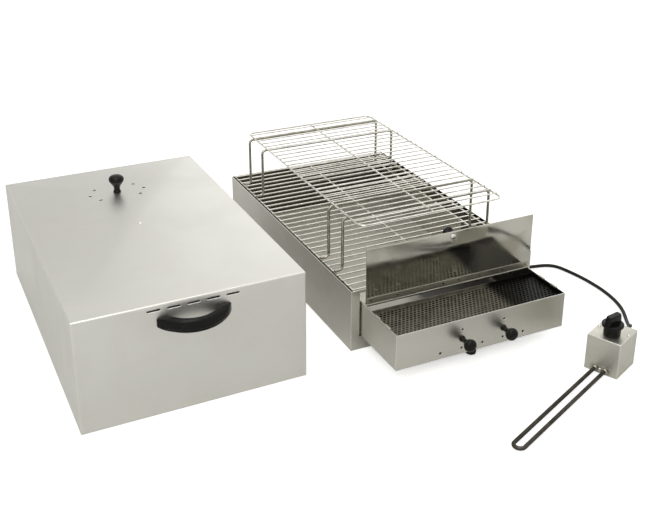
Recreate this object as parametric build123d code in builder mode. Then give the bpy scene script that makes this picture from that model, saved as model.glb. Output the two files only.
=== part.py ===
from build123d import *
from math import cos, pi, radians, sin, tan
import os

# Electric smoker, shown opened out: fish pan with its grills, lid beside it,
# smoke box in front with its flap up, and the heater unit with its lead.
# Millimetres, +Z up, +Y to the back. The origin is under the middle of the base pan.

# Sheet metal and clearances
sheet = 1.0
gap = 0.3                      # between faces that move past each other
turn_fit = 0.05                # radial clearance of a spindle in its hole

# Base pan
base_width = 375.0
base_length = 587.0
base_height = 116.5
cutout_gap = 2.5               # beside the smoke box
cutout_rise = 4.3              # strip of panel left above the cut-out
cutout_sill = 25.0             # lower edge of the cut-out
sill_depth = 14.0
ledge_width = 12.0
ledge_leg = 10.0
ledge_drop = 6.3               # from the rim down to the ledge
ledge_length = 560.0
runner_width = 12.0
runner_place = 140.0

# Main grill
grill_wire = 3.0
grill_pitch = 19.8
grill_count = 30
grill_first = 7.1              # first wire, behind the front panel's face
grill_end_gap = 3.0
stringer = 4.0
stringer_places = (-179.0, 0.0, 149.0, 179.0)

# Upper rack
rack_x = -9.8
rack_y = 1.5
rack_width = 292.5
rack_length = 529.0
rack_corner = 14.0
rack_frame = 3.4
rack_wire = 2.6
rack_count = 26
rack_overlap = 0.5             # how far crossing wires sink into each other
leg_wire = 5.2
leg_rise = 99.7                # foot to bar, between wire centres
leg_left = -165.0
leg_right = 141.5
leg_places = (-212.5, -155.5, 164.4, 236.1)
leg_foot = 16.0
leg_bend = 10.0
foot_bend = 7.0

# Smoke box
box_width = 338.0
box_reach = 126.0              # in front of the base pan
box_tail = 25.0                # inside the base pan
box_bottom = 28.0
box_top = 94.0
rear_sill = 19.5
foot_radius = 10.0
foot_place = 94.0
foot_screw_radius = 2.0
foot_screw_head = 4.5
port_place = 76.0
port_level = 49.0

# Flap and its hinge
hinge_place = 19.0             # in front of the base pan
knuckle = 2.0                  # outer radius
pin_radius = 1.1
knuckle_count = 7
hinge_length = 336.0
hinge_sheet = 0.8
fixed_leaf = 12.0
leaf_top = 109.3
flap_width = 340.0
flap_top = 202.0
flap_knob_level = 192.2
flap_knob_height = 21.0
flap_screw_radius = 5.0
flap_screw_shank = 2.0
rivet_places = (-161.0, -109.0, -60.0, -16.0, 16.0, 60.0, 109.0, 161.0)
rivet_radius = 1.9
rivet_level = 104.6

# Chip tray
tray_level = 86.5
tray_rear = 34.0
tray_front = 124.0
tray_rim = 6.0
tray_side_gap = 0.6
tray_columns = 19
tray_rows = 5
tray_hole = 4.6
tray_pitch = 16.4
lug_width = 16.0
lug_places = (59.0, 95.0)
lug_drop = 5.0

# Air dampers
damper_places = (-41.8, 41.8)
damper_level = 56.7
air_hole = 2.5
air_throw = 17.7
air_row = 42.0
damper_disc = 23.0
spindle_radius = 2.5
knob_radius = 11.2
knob_height = 32.0
knob_socket = 8.0

# Lid
lid_gap = 1.0
lid_height = 194.4
lid_place = (-479.1, -33.5)
lid_turn = 0.34
lid_overlap = 21.5
stop_width = 5.0
slot_count = 5
slot_pitch = 32.0
slot_length = 21.5
slot_height = 3.2
slot_drop = 9.3
vent_place = 164.5             # behind the lid's middle
vent_holes = ((38.2, 26.2), (52.3, 0.0), (38.2, -26.2), (-38.2, 26.2), (-52.3, 0.0), (-38.2, -26.2))
vent_hole = 3.4
vent_disc = 62.0
vent_spindle = 3.0
vent_knob_radius = 14.7
vent_knob_height = 34.0
stud_place = 4.5
stud_radius = 3.0
handle_length = 121.0
handle_reach = 38.0
handle_height = 23.0
handle_opening = 78.0
handle_finger = 24.0
handle_drop = 31.3
handle_round = 4.0
handle_screw_place = 50.0
handle_screw_radius = 2.4
handle_screw_depth = 10.0

# Heater unit
housing_x = 66.0
housing_y = 60.0
housing_z = 65.2
housing_place = (191.7, -521.4)
housing_turn = 24.1
element_radius = 3.25
element_spacing = 18.0
element_level = 7.5
element_offset = 1.0
element_reach = 311.5          # from the housing's middle to the tip
element_inside = 10.0
flange_length = 36.0
flange_height = 11.0
flange_sheet = 1.5
flange_screw_radius = 1.8
block_x = 18.0
block_y = 34.0
block_z = 16.0
regulator_x = 32.0
regulator_y = 34.0
regulator_z = 24.0
cover_screw_x = 5.0
cover_screw_y = 26.0
cover_screw_radius = 2.6
selector_place = (-8.0, -2.0)
selector_spindle = 3.0
selector_skirt = 14.5
selector_flange = 18.5
selector_skirt_height = 16.0
selector_flange_height = 5.4
selector_grip_height = 15.0
selector_grip = 11.0

# Mains lead
cord_radius = 3.3
cord_sides = 8
cord_level = 3.4               # its centre when it lies on the floor
gland_level = 41.0
gland_offset = 1.5
gland_radius = 8.0
gland_length = 6.0
relief_length = 20.0
relief_radius = 6.0
coil_place = (255.0, -81.0)
coil_radius = 41.5
coil_pitch = 7.2
coil_layer = 7.1
coil_lead = 7.0
plug_radius = 18.5
plug_neck = 22.0
plug_body = 42.0
plug_start = 0.0
pin_spacing = 19.0
plug_pin_radius = 2.4
plug_pin_length = 19.0

# Values worked out from the ones above
front = -base_length / 2
ledge_top = base_height - ledge_drop
stringer_level = ledge_top + gap + stringer / 2
wire_level = stringer_level + stringer / 2 + grill_wire / 2
foot_level = stringer_level + stringer / 2 + gap + leg_wire / 2
bar_level = foot_level + leg_rise
cutout_width = box_width + 2 * cutout_gap
cutout_top = base_height - cutout_rise
box_front = front - box_reach
box_rear = front + box_tail
hinge_y = front - hinge_place
hinge_z = box_top + gap + knuckle
lid_width = base_width + 2 * (lid_gap + sheet)
lid_length = base_length + 2 * (lid_gap + sheet)
os.makedirs("parts", exist_ok=True)


def turned(place, angle):
    """A level plane at a place on the floor, turned about the vertical."""
    x_dir = (cos(radians(angle)), sin(radians(angle)), 0)
    return Plane(origin=(*place, 0), x_dir=x_dir, z_dir=(0, 0, 1))


def side_plane(plane, x, y, z, across, normal):
    """A plane inside another one's frame, with its own X direction and normal."""
    corner = plane.from_local_coords(Vector(x, y, z))
    x_dir = plane.from_local_coords(Vector(*across)) - plane.origin
    z_dir = plane.from_local_coords(Vector(*normal)) - plane.origin
    return Plane(origin=corner, x_dir=x_dir, z_dir=z_dir)


def facing_front(x, y, z):
    """A plane whose normal points to the front, with X to the right and up as Y."""
    return Plane(origin=(x, y, z), x_dir=(1, 0, 0), z_dir=(0, -1, 0))


def save(builder, name):
    """Label a finished piece and write it."""
    builder.part.label = name
    export_step(builder.part, "parts/" + name + ".step")


def box_part(plane, size, middle, bottom):
    """A plain block on a level plane: its size, the middle of its plan, and its bottom."""
    with BuildPart() as block:
        with BuildSketch(plane.offset(bottom)):
            with Locations(middle):
                Rectangle(size[0], size[1])
        extrude(amount=size[2])
    return block


def knob_outline(radius, height, stand):
    """Half outline of a mushroom knob: slim neck, flared skirt and a round head."""
    neck = radius * 0.38
    brim = height * 0.72
    Polyline(
        (0, stand),
        (neck * 1.4, stand),
        (neck, height * 0.30),
        (radius, brim),
        (radius * 0.74, height * 0.93),
        (0, height),
        close=True,
    )


lid_plane = turned(lid_place, lid_turn)
housing_plane = turned(housing_place, housing_turn)

# Base pan: floor, two sides and back folded from one sheet, open at the front
with BuildPart() as base_pan:
    with BuildSketch(Plane.XY):
        with Locations((0, sheet / 2)):
            Rectangle(base_width, base_length - sheet)
    extrude(amount=base_height)
    with BuildSketch(Plane.XY.offset(sheet)):
        with Locations((0, -sheet / 2)):
            Rectangle(base_width - 2 * sheet, base_length - sheet)
    extrude(amount=base_height, mode=Mode.SUBTRACT)
save(base_pan, "base_pan")

# Front panel with the cut-out for the smoke box and its folded sill
with BuildPart() as base_front:
    with BuildSketch(facing_front(0, front, 0)):
        with Locations((0, base_height / 2)):
            Rectangle(base_width, base_height)
        with Locations((0, (cutout_sill + cutout_top) / 2)):
            Rectangle(cutout_width, cutout_top - cutout_sill, mode=Mode.SUBTRACT)
    extrude(amount=-sheet)
    with BuildSketch(Plane.XY.offset(cutout_sill - sheet)):
        with Locations((0, front + sheet + sill_depth / 2)):
            Rectangle(cutout_width, sill_depth)
    extrude(amount=sheet)
save(base_front, "base_front")

# Angle ledges along both side walls, which carry the main grill
wall_inside = base_width / 2 - sheet
for side, name in ((-1, "ledge_left"), (1, "ledge_right")):
    with BuildPart() as ledge:
        with BuildSketch(Plane.XY.offset(ledge_top - sheet)):
            with Locations((side * (wall_inside - ledge_width / 2), 0)):
                Rectangle(ledge_width, ledge_length)
        extrude(amount=sheet)
        with BuildSketch(Plane.XY.offset(ledge_top - ledge_leg)):
            with Locations((side * (wall_inside - sheet / 2), 0)):
                Rectangle(sheet, ledge_length)
        extrude(amount=ledge_leg - sheet)
    save(ledge, name)

# Runners on the sill, which the smoke box slides on
for side, name in ((-1, "runner_left"), (1, "runner_right")):
    runner_size = (runner_width, sill_depth, box_bottom - gap - cutout_sill)
    runner_middle = (side * runner_place, front + sheet + sill_depth / 2)
    runner = box_part(Plane.XY, runner_size, runner_middle, cutout_sill)
    save(runner, name)

# Main grill: cross wires welded on top of four stringers
grill_width = 2 * (wall_inside - grill_end_gap)
grill_start = front + grill_first
grill_depth = (grill_count - 1) * grill_pitch
with BuildPart() as main_grill:
    with BuildSketch(Plane.YZ.offset(-grill_width / 2)):
        with Locations((grill_start + grill_depth / 2, wire_level)):
            with GridLocations(grill_pitch, 1, grill_count, 1):
                RegularPolygon(grill_wire / 2, 8, major_radius=False, rotation=22.5)
    extrude(amount=grill_width)
    with BuildSketch(facing_front(0, grill_start + grill_depth + grill_wire / 2, 0)):
        with Locations(*[(place, stringer_level) for place in stringer_places]):
            RegularPolygon(stringer / 2, 8, major_radius=False, rotation=22.5)
    extrude(amount=grill_depth + grill_wire)
save(main_grill, "main_grill")

# Upper rack: a rounded frame, a middle stringer and thin cross wires on top
frame_level = bar_level + leg_wire / 2 + rack_frame / 2 - rack_overlap
rack_wire_level = frame_level + rack_frame / 2 + rack_wire / 2 - rack_overlap
rack_pitch = rack_length / (rack_count + 1)
with BuildPart() as rack_grid:
    with BuildSketch(Plane.XY.offset(frame_level)):
        with Locations((rack_x, rack_y)):
            RectangleRounded(rack_width + rack_frame, rack_length + rack_frame, rack_corner)
            RectangleRounded(
                rack_width - rack_frame, rack_length - rack_frame, rack_corner - rack_frame, mode=Mode.SUBTRACT
            )
    extrude(amount=rack_frame / 2, both=True)
    chamfer(rack_grid.edges().filter_by(GeomType.LINE).filter_by(Plane.XY), rack_frame * 0.28)
    with BuildSketch(facing_front(0, rack_y + rack_length / 2, 0)):
        with Locations((rack_x, frame_level)):
            RegularPolygon(rack_frame / 2, 8, major_radius=False, rotation=22.5)
    extrude(amount=rack_length)
    with BuildSketch(Plane.YZ.offset(rack_x - rack_width / 2)):
        with Locations((rack_y, rack_wire_level)):
            with GridLocations(rack_pitch, 1, rack_count, 1):
                RegularPolygon(rack_wire / 2, 8, major_radius=False, rotation=22.5)
    extrude(amount=rack_width)
save(rack_grid, "rack_grid")

# Four bent wires that carry the rack, each with a leg and a foot at both ends
for number, place in enumerate(leg_places):
    with BuildPart() as leg:
        with BuildLine(Plane(origin=(0, place, 0), x_dir=(1, 0, 0), z_dir=(0, -1, 0))) as leg_path:
            FilletPolyline(
                (leg_left - leg_foot, foot_level),
                (leg_left, foot_level),
                (leg_left, bar_level),
                (leg_right, bar_level),
                (leg_right, foot_level),
                (leg_right + leg_foot, foot_level),
                radius=(foot_bend, leg_bend, leg_bend, foot_bend),
            )
        with BuildSketch(Plane(origin=(leg_left - leg_foot, place, foot_level), z_dir=(1, 0, 0))):
            RegularPolygon(leg_wire / 2, 8, major_radius=False, rotation=22.5)
        sweep(path=leg_path.line)
    save(leg, "rack_leg_" + str(number + 1))

# Smoke box shell: floor, side walls and a low sill at the back
box_inside = box_width / 2 - sheet
shell_length = box_rear - box_front - sheet
shell_middle = (box_rear + box_front + sheet) / 2
with BuildPart() as box_shell:
    with BuildSketch(Plane.XY.offset(box_bottom)):
        with Locations((0, shell_middle)):
            Rectangle(box_width, shell_length)
    extrude(amount=box_top - box_bottom)
    with BuildSketch(Plane.XY.offset(box_bottom + sheet)):
        with Locations((0, shell_middle)):
            Rectangle(box_width - 2 * sheet, shell_length)
    extrude(amount=box_top - box_bottom, mode=Mode.SUBTRACT)
    with BuildSketch(Plane.XY.offset(box_bottom + sheet)):
        with Locations((0, box_rear - sheet / 2)):
            Rectangle(box_width - 2 * sheet, sheet)
    extrude(amount=rear_sill - sheet)
    with BuildSketch(Plane.YZ.offset(box_inside)):
        with Locations((front - port_place, port_level)):
            with GridLocations(element_spacing, 1, 2, 1):
                Circle(element_radius + gap)
            Circle(flange_screw_radius + gap)
    extrude(amount=sheet, mode=Mode.SUBTRACT)
    with BuildSketch(Plane.XY.offset(box_bottom)):
        with Locations((0, front - foot_place)):
            Circle(foot_screw_radius)
    extrude(amount=sheet, mode=Mode.SUBTRACT)
save(box_shell, "box_shell")

# Front panel of the smoke box with its row of air holes and the spindle holes
lower_holes = [(step * air_row, damper_level - air_throw) for step in (-2, 0, 2)]
damper_holes = [(place, damper_level + up * air_throw) for place in damper_places for up in (-1, 1)]
with BuildPart() as box_panel:
    with BuildSketch(facing_front(0, box_front, 0)):
        with Locations((0, (box_bottom + box_top) / 2)):
            Rectangle(box_width, box_top - box_bottom)
        with Locations(*lower_holes, *damper_holes):
            Circle(air_hole, mode=Mode.SUBTRACT)
        with Locations(*[(place, damper_level) for place in damper_places]):
            Circle(spindle_radius + turn_fit, mode=Mode.SUBTRACT)
    extrude(amount=-sheet)
save(box_panel, "box_panel")

# Roof strip from the hinge back into the base pan
roof_depth = box_rear - hinge_y
box_roof = box_part(
    Plane.XY, (box_width - 2 * sheet, roof_depth, sheet), (0, hinge_y + roof_depth / 2), box_top - sheet
)
save(box_roof, "box_roof")

# Hinge: knuckles of the fixed leaf and of the flap's leaf take turns on one pin
knuckle_step = hinge_length / knuckle_count
knuckle_long = knuckle_step - gap
knuckle_middles = [(number - (knuckle_count - 1) / 2) * knuckle_step for number in range(knuckle_count)]
fixed_middles = knuckle_middles[0::2]
flap_middles = knuckle_middles[1::2]
with BuildPart() as hinge_fixed:
    with BuildSketch(Plane.XY.offset(box_top)):
        with Locations((0, hinge_y + knuckle + gap + (fixed_leaf - knuckle - gap) / 2)):
            Rectangle(hinge_length - gap, fixed_leaf - knuckle - gap)
        with Locations(*[(middle, hinge_y + (knuckle + gap) / 2) for middle in fixed_middles]):
            Rectangle(knuckle_long, knuckle + gap)
    extrude(amount=hinge_sheet)
    for middle in fixed_middles:
        with BuildSketch(Plane.YZ.offset(middle - knuckle_long / 2)):
            with Locations((hinge_y, hinge_z)):
                Circle(knuckle)
        extrude(amount=knuckle_long)
    with BuildSketch(Plane.YZ.offset(-hinge_length / 2)):
        with Locations((hinge_y, hinge_z)):
            Circle(pin_radius)
    extrude(amount=hinge_length, mode=Mode.SUBTRACT)
save(hinge_fixed, "hinge_fixed")

with BuildPart() as hinge_pin:
    with BuildSketch(Plane.YZ.offset(-hinge_length / 2)):
        with Locations((hinge_y, hinge_z)):
            Circle(pin_radius)
    extrude(amount=hinge_length)
save(hinge_pin, "hinge_pin")

# Rubber foot under the smoke box, with its screw
with BuildPart() as box_foot:
    with BuildSketch(Plane.XY):
        with Locations((0, front - foot_place)):
            Circle(foot_radius)
            Circle(foot_screw_radius, mode=Mode.SUBTRACT)
    extrude(amount=box_bottom)
    with BuildSketch(Plane.XY):
        with Locations((0, front - foot_place)):
            Circle(foot_screw_head)
    extrude(amount=5.0, mode=Mode.SUBTRACT)
save(box_foot, "box_foot")

with BuildPart() as foot_screw:
    with BuildSketch(Plane.XY.offset(2.5)):
        with Locations((0, front - foot_place)):
            Circle(foot_screw_head)
    extrude(amount=2.5)
    with BuildSketch(Plane.XY.offset(2.5)):
        with Locations((0, front - foot_place)):
            Circle(foot_screw_radius)
    extrude(amount=box_bottom + 6.0 - 2.5)
    with BuildSketch(Plane.XY.offset(box_bottom + sheet)):
        with Locations((0, front - foot_place)):
            RegularPolygon(3.5, 6, major_radius=False)
    extrude(amount=3.0)
save(foot_screw, "foot_screw")

# Flap: a panel above its leaf's knuckles, folded back at the free edge
panel_front = hinge_y - 0.7
with BuildPart() as flap_panel:
    with BuildSketch(Plane.XY.offset(hinge_z + knuckle + gap)):
        with Locations((0, panel_front + sheet / 2)):
            Rectangle(flap_width, sheet)
    extrude(amount=flap_top - hinge_z - knuckle - gap)
    with BuildSketch(Plane.XY.offset(flap_top - 3.0)):
        with Locations((0, panel_front + sheet + 0.4)):
            Rectangle(flap_width, 0.8)
    extrude(amount=3.0)
    with BuildSketch(facing_front(0, panel_front, 0)):
        with Locations((0, flap_knob_level)):
            Circle(flap_screw_shank)
    extrude(amount=-sheet, mode=Mode.SUBTRACT)
save(flap_panel, "flap_panel")

with BuildPart() as flap_leaf:
    leaf_bottom = hinge_z + knuckle + gap
    with BuildSketch(facing_front(0, panel_front, 0)):
        with Locations((0, (leaf_bottom + leaf_top) / 2)):
            Rectangle(hinge_length, leaf_top - leaf_bottom)
        with Locations(*[(middle, (hinge_z + leaf_bottom) / 2) for middle in flap_middles]):
            Rectangle(knuckle_long, leaf_bottom - hinge_z)
    extrude(amount=hinge_sheet)
    for middle in flap_middles:
        with BuildSketch(Plane.YZ.offset(middle - knuckle_long / 2)):
            with Locations((hinge_y, hinge_z)):
                Circle(knuckle)
        extrude(amount=knuckle_long)
    with BuildSketch(Plane.YZ.offset(-hinge_length / 2)):
        with Locations((hinge_y, hinge_z)):
            Circle(pin_radius + turn_fit)
    extrude(amount=hinge_length, mode=Mode.SUBTRACT)
    with BuildSketch(facing_front(0, panel_front - hinge_sheet, 0)):
        with Locations(*[(place, rivet_level) for place in rivet_places]):
            RegularPolygon(rivet_radius, 8)
    extrude(amount=0.7)
save(flap_leaf, "flap_leaf")

with BuildPart() as flap_knob:
    knob_seat = Plane(origin=(0, panel_front + sheet, flap_knob_level), x_dir=(1, 0, 0), z_dir=(0, 0, 1))
    with BuildSketch(knob_seat):
        with BuildLine():
            knob_outline(knob_radius, flap_knob_height, 0.0)
        make_face()
    revolve(axis=Axis((0, panel_front + sheet, flap_knob_level), (0, 1, 0)))
    with BuildSketch(facing_front(0, panel_front + sheet, 0)):
        with Locations((0, flap_knob_level)):
            Circle(flap_screw_shank)
    extrude(amount=-9.0, mode=Mode.SUBTRACT)
save(flap_knob, "flap_knob")

with BuildPart() as flap_screw:
    with BuildSketch(facing_front(0, panel_front, 0)):
        with Locations((0, flap_knob_level)):
            Circle(flap_screw_radius)
    extrude(amount=2.4)
    chamfer(flap_screw.faces().sort_by(Axis.Y)[0].edges(), 1.4)
    with BuildSketch(facing_front(0, panel_front, 0)):
        with Locations((0, flap_knob_level)):
            Circle(flap_screw_shank)
    extrude(amount=-(sheet + 9.0))
save(flap_screw, "flap_screw")

# Chip tray: a perforated floor with upstands, hung by lugs over the side walls
tray_side = box_inside - tray_side_gap
tray_depth = tray_front - tray_rear
tray_middle = front - (tray_front + tray_rear) / 2
with BuildPart() as chip_tray:
    with BuildSketch(Plane.XY.offset(tray_level - sheet)):
        with Locations((0, tray_middle)):
            Rectangle(2 * tray_side, tray_depth)
    extrude(amount=tray_rim + sheet)
    with BuildSketch(Plane.XY.offset(tray_level)):
        with Locations((0, tray_middle)):
            Rectangle(2 * (tray_side - sheet), tray_depth - 2 * sheet)
    extrude(amount=tray_rim, mode=Mode.SUBTRACT)
    with BuildSketch(Plane.XY.offset(tray_level - sheet)):
        with Locations((0, tray_middle)):
            with GridLocations(tray_pitch, tray_pitch, tray_columns, tray_rows):
                RegularPolygon(tray_hole, 6)
    extrude(amount=sheet, mode=Mode.SUBTRACT)
    lug_level = box_top + gap
    lug_outside = box_width / 2 + gap + sheet
    for side in (-1, 1):
        for place in lug_places:
            with BuildSketch(Plane.XY.offset(tray_level)):
                with Locations((side * (tray_side - sheet / 2), front - place)):
                    Rectangle(sheet, lug_width)
            extrude(amount=lug_level - tray_level)
            lug_reach = lug_outside - tray_side + sheet
            with BuildSketch(Plane.XY.offset(lug_level)):
                with Locations((side * (lug_outside - lug_reach / 2), front - place)):
                    Rectangle(lug_reach, lug_width)
            extrude(amount=sheet)
            with BuildSketch(Plane.XY.offset(lug_level - lug_drop)):
                with Locations((side * (lug_outside - sheet / 2), front - place)):
                    Rectangle(sheet, lug_width)
            extrude(amount=lug_drop)
save(chip_tray, "chip_tray")

# Dampers: a knob outside, and a two-hole disc with its spindle inside
disc_face = box_front + sheet + gap
for place, name in zip(damper_places, ("left", "right")):
    with BuildPart() as damper_disc_part:
        with BuildSketch(facing_front(0, disc_face + sheet, 0)):
            with Locations((place, damper_level)):
                Circle(damper_disc)
            with Locations((place, damper_level + air_throw), (place, damper_level - air_throw)):
                Circle(air_hole, mode=Mode.SUBTRACT)
        extrude(amount=sheet)
        with BuildSketch(facing_front(0, disc_face + sheet, 0)):
            with Locations((place, damper_level)):
                Circle(spindle_radius)
        extrude(amount=2 * sheet + 2 * gap + knob_socket)
        with BuildSketch(facing_front(0, disc_face + sheet, 0)):
            with Locations((place, damper_level)):
                RegularPolygon(4.0, 6, major_radius=False)
        extrude(amount=-3.0)
    save(damper_disc_part, "damper_disc_" + name)

    with BuildPart() as damper_knob:
        with BuildSketch(Plane(origin=(place, box_front, damper_level), x_dir=(1, 0, 0), z_dir=(0, 0, 1))):
            with BuildLine():
                knob_outline(knob_radius, knob_height, gap)
            make_face()
        revolve(axis=Axis((place, box_front, damper_level), (0, 1, 0)))
        mirrored = damper_knob.part.mirror(Plane(origin=(place, box_front, damper_level), z_dir=(0, 1, 0)))
        add(mirrored, mode=Mode.REPLACE)
        with BuildSketch(facing_front(0, box_front - gap, 0)):
            with Locations((place, damper_level)):
                Circle(spindle_radius)
        extrude(amount=knob_socket, mode=Mode.SUBTRACT)
    save(damper_knob, "damper_knob_" + name)

# Lid: one deep-drawn shell, with slots in its front wall and vent holes on top
lid_front = -lid_length / 2
with BuildPart() as lid_shell:
    with BuildSketch(lid_plane):
        Rectangle(lid_width, lid_length)
    extrude(amount=lid_height)
    with BuildSketch(lid_plane):
        Rectangle(lid_width - 2 * sheet, lid_length - 2 * sheet)
    extrude(amount=lid_height - sheet, mode=Mode.SUBTRACT)
    with BuildSketch(side_plane(lid_plane, 0, lid_front, lid_height - slot_drop, (1, 0, 0), (0, -1, 0))):
        with GridLocations(slot_pitch, 1, slot_count, 1):
            Rectangle(slot_length, slot_height)
    extrude(amount=-sheet, mode=Mode.SUBTRACT)
    with BuildSketch(lid_plane.offset(lid_height)):
        with Locations(*[(x, y + vent_place) for x, y in vent_holes]):
            Circle(vent_hole)
        with Locations((0, vent_place)):
            Circle(vent_spindle + turn_fit)
        with Locations((0, stud_place)):
            Circle(stud_radius - 1.0)
    extrude(amount=-sheet, mode=Mode.SUBTRACT)
    for end, turn in ((lid_front, -1), (-lid_front, 1)):
        with BuildSketch(side_plane(lid_plane, 0, end, lid_height - handle_drop, (1, 0, 0), (0, turn, 0))):
            with GridLocations(2 * handle_screw_place, 1, 2, 1):
                Circle(handle_screw_radius)
        extrude(amount=-sheet, mode=Mode.SUBTRACT)
save(lid_shell, "lid_shell")

# Stop inside the lid, which comes down on the base pan's rim
with BuildPart() as lid_stop:
    with BuildSketch(lid_plane.offset(lid_overlap)):
        Rectangle(lid_width - 2 * sheet, lid_length - 2 * sheet)
        Rectangle(lid_width - 2 * sheet - 2 * stop_width, lid_length - 2 * sheet - 2 * stop_width, mode=Mode.SUBTRACT)
    extrude(amount=sheet)
save(lid_stop, "lid_stop")

# Bow handles at both ends of the lid, each held by two screws from inside
for end, turn, name in ((lid_front, -1, "front"), (-lid_front, 1, "back")):
    level = lid_height - handle_drop
    with BuildPart() as handle:
        with BuildSketch(side_plane(lid_plane, 0, end, level - handle_height / 2, (turn, 0, 0), (0, 0, 1))):
            with BuildLine():
                Line((-handle_length / 2, 0), (handle_length / 2, 0))
                ThreePointArc((-handle_length / 2, 0), (0, handle_reach), (handle_length / 2, 0))
            make_face()
            with BuildLine():
                Line((-handle_opening / 2, 0), (handle_opening / 2, 0))
                ThreePointArc((-handle_opening / 2, 0), (0, handle_finger), (handle_opening / 2, 0))
            make_face(mode=Mode.SUBTRACT)
        extrude(amount=handle_height)
        outer_edges = handle.edges().filter_by(GeomType.CIRCLE).sort_by(SortBy.LENGTH)[-2:]
        chamfer(outer_edges, handle_round)
        with BuildSketch(side_plane(lid_plane, 0, end, level, (1, 0, 0), (0, turn, 0))):
            with GridLocations(2 * handle_screw_place, 1, 2, 1):
                Circle(handle_screw_radius)
        extrude(amount=handle_screw_depth, mode=Mode.SUBTRACT)
    save(handle, "handle_" + name)
    for side, hand in ((-1, "left"), (1, "right")):
        with BuildPart() as handle_screw:
            inside = end - turn * sheet
            with BuildSketch(side_plane(lid_plane, side * handle_screw_place, inside, level, (1, 0, 0), (0, turn, 0))):
                Circle(handle_screw_radius)
            extrude(amount=sheet + handle_screw_depth)
            with BuildSketch(side_plane(lid_plane, side * handle_screw_place, inside, level, (1, 0, 0), (0, turn, 0))):
                Circle(2 * handle_screw_radius)
            extrude(amount=-2.5)
        save(handle_screw, "handle_screw_" + name + "_" + hand)

with BuildPart() as lid_stud:
    with BuildSketch(lid_plane.offset(lid_height - sheet - 2.0)):
        with Locations((0, stud_place)):
            Circle(stud_radius)
    extrude(amount=2.0)
    with BuildSketch(lid_plane.offset(lid_height - sheet)):
        with Locations((0, stud_place)):
            Circle(stud_radius - 1.0)
    extrude(amount=sheet)
    with BuildSketch(lid_plane.offset(lid_height)):
        with Locations((0, stud_place)):
            Circle(stud_radius)
    extrude(amount=1.6)
save(lid_stud, "lid_stud")

# Lid vent: a knob on top and a six-hole disc with its spindle below
with BuildPart() as vent_disc_part:
    disc_level = lid_height - sheet - gap - sheet
    with BuildSketch(lid_plane.offset(disc_level)):
        with Locations((0, vent_place)):
            Circle(vent_disc)
        with Locations(*[(x, y + vent_place) for x, y in vent_holes]):
            Circle(vent_hole, mode=Mode.SUBTRACT)
    extrude(amount=sheet)
    with BuildSketch(lid_plane.offset(disc_level)):
        with Locations((0, vent_place)):
            Circle(vent_spindle)
    extrude(amount=2 * sheet + 2 * gap + knob_socket)
    with BuildSketch(lid_plane.offset(disc_level)):
        with Locations((0, vent_place)):
            RegularPolygon(5.0, 6, major_radius=False)
    extrude(amount=-4.0)
save(vent_disc_part, "vent_disc")

with BuildPart() as vent_knob:
    vent_middle = lid_plane.from_local_coords(Vector(0, vent_place, 0))
    with BuildSketch(Plane(origin=(vent_middle.X, vent_middle.Y, lid_height), x_dir=(1, 0, 0), z_dir=(0, -1, 0))):
        with BuildLine():
            knob_outline(vent_knob_radius, vent_knob_height, gap)
        make_face()
    revolve(axis=Axis((vent_middle.X, vent_middle.Y, 0), (0, 0, 1)))
    with BuildSketch(lid_plane.offset(lid_height + gap)):
        with Locations((0, vent_place)):
            Circle(vent_spindle)
    extrude(amount=knob_socket, mode=Mode.SUBTRACT)
save(vent_knob, "vent_knob")

# Heater housing: a folded cover over a base plate
rods = ((-housing_x / 2, element_offset - element_spacing / 2), (-housing_x / 2, element_offset + element_spacing / 2))
with BuildPart() as heater_cover:
    with BuildSketch(housing_plane):
        Rectangle(housing_x, housing_y)
    extrude(amount=housing_z)
    with BuildSketch(housing_plane):
        Rectangle(housing_x - 2 * sheet, housing_y - 2 * sheet)
    extrude(amount=housing_z - sheet, mode=Mode.SUBTRACT)
    with BuildSketch(side_plane(housing_plane, -housing_x / 2, element_offset, element_level, (0, -1, 0), (-1, 0, 0))):
        with GridLocations(element_spacing, 1, 2, 1):
            Circle(element_radius)
        Circle(flange_screw_radius)
    extrude(amount=-sheet, mode=Mode.SUBTRACT)
    with BuildSketch(side_plane(housing_plane, housing_x / 2, gland_offset, gland_level, (0, 1, 0), (1, 0, 0))):
        Circle(gland_radius - 2.0)
    extrude(amount=-sheet, mode=Mode.SUBTRACT)
    with BuildSketch(housing_plane.offset(housing_z)):
        with Locations(selector_place):
            Circle(selector_spindle + turn_fit)
        with Locations((cover_screw_x, cover_screw_y), (cover_screw_x, -cover_screw_y)):
            Circle(cover_screw_radius - 1.1)
    extrude(amount=-sheet, mode=Mode.SUBTRACT)
save(heater_cover, "heater_cover")

heater_base = box_part(housing_plane, (housing_x - 2 * sheet, housing_y - 2 * sheet, sheet), (0, 0), 0.0)
save(heater_base, "heater_base")

# Regulator under the selector, hung from the top by the two cover screws
regulator_top = housing_z - sheet
with BuildPart() as regulator:
    with BuildSketch(housing_plane.offset(regulator_top)):
        with Locations(selector_place):
            Rectangle(regulator_x, regulator_y)
            Circle(selector_spindle + turn_fit, mode=Mode.SUBTRACT)
        with Locations((cover_screw_x, 0)):
            Rectangle(9.0, housing_y - 4 * sheet)
        with Locations(selector_place):
            Circle(selector_spindle + turn_fit, mode=Mode.SUBTRACT)
        with Locations((cover_screw_x, cover_screw_y), (cover_screw_x, -cover_screw_y)):
            Circle(cover_screw_radius - 1.1, mode=Mode.SUBTRACT)
    extrude(amount=-1.5)
    with BuildSketch(housing_plane.offset(regulator_top - 1.5)):
        with Locations(selector_place):
            Rectangle(regulator_x, regulator_y)
            Circle(selector_spindle + turn_fit, mode=Mode.SUBTRACT)
    extrude(amount=-regulator_z)
save(regulator, "regulator")

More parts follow.
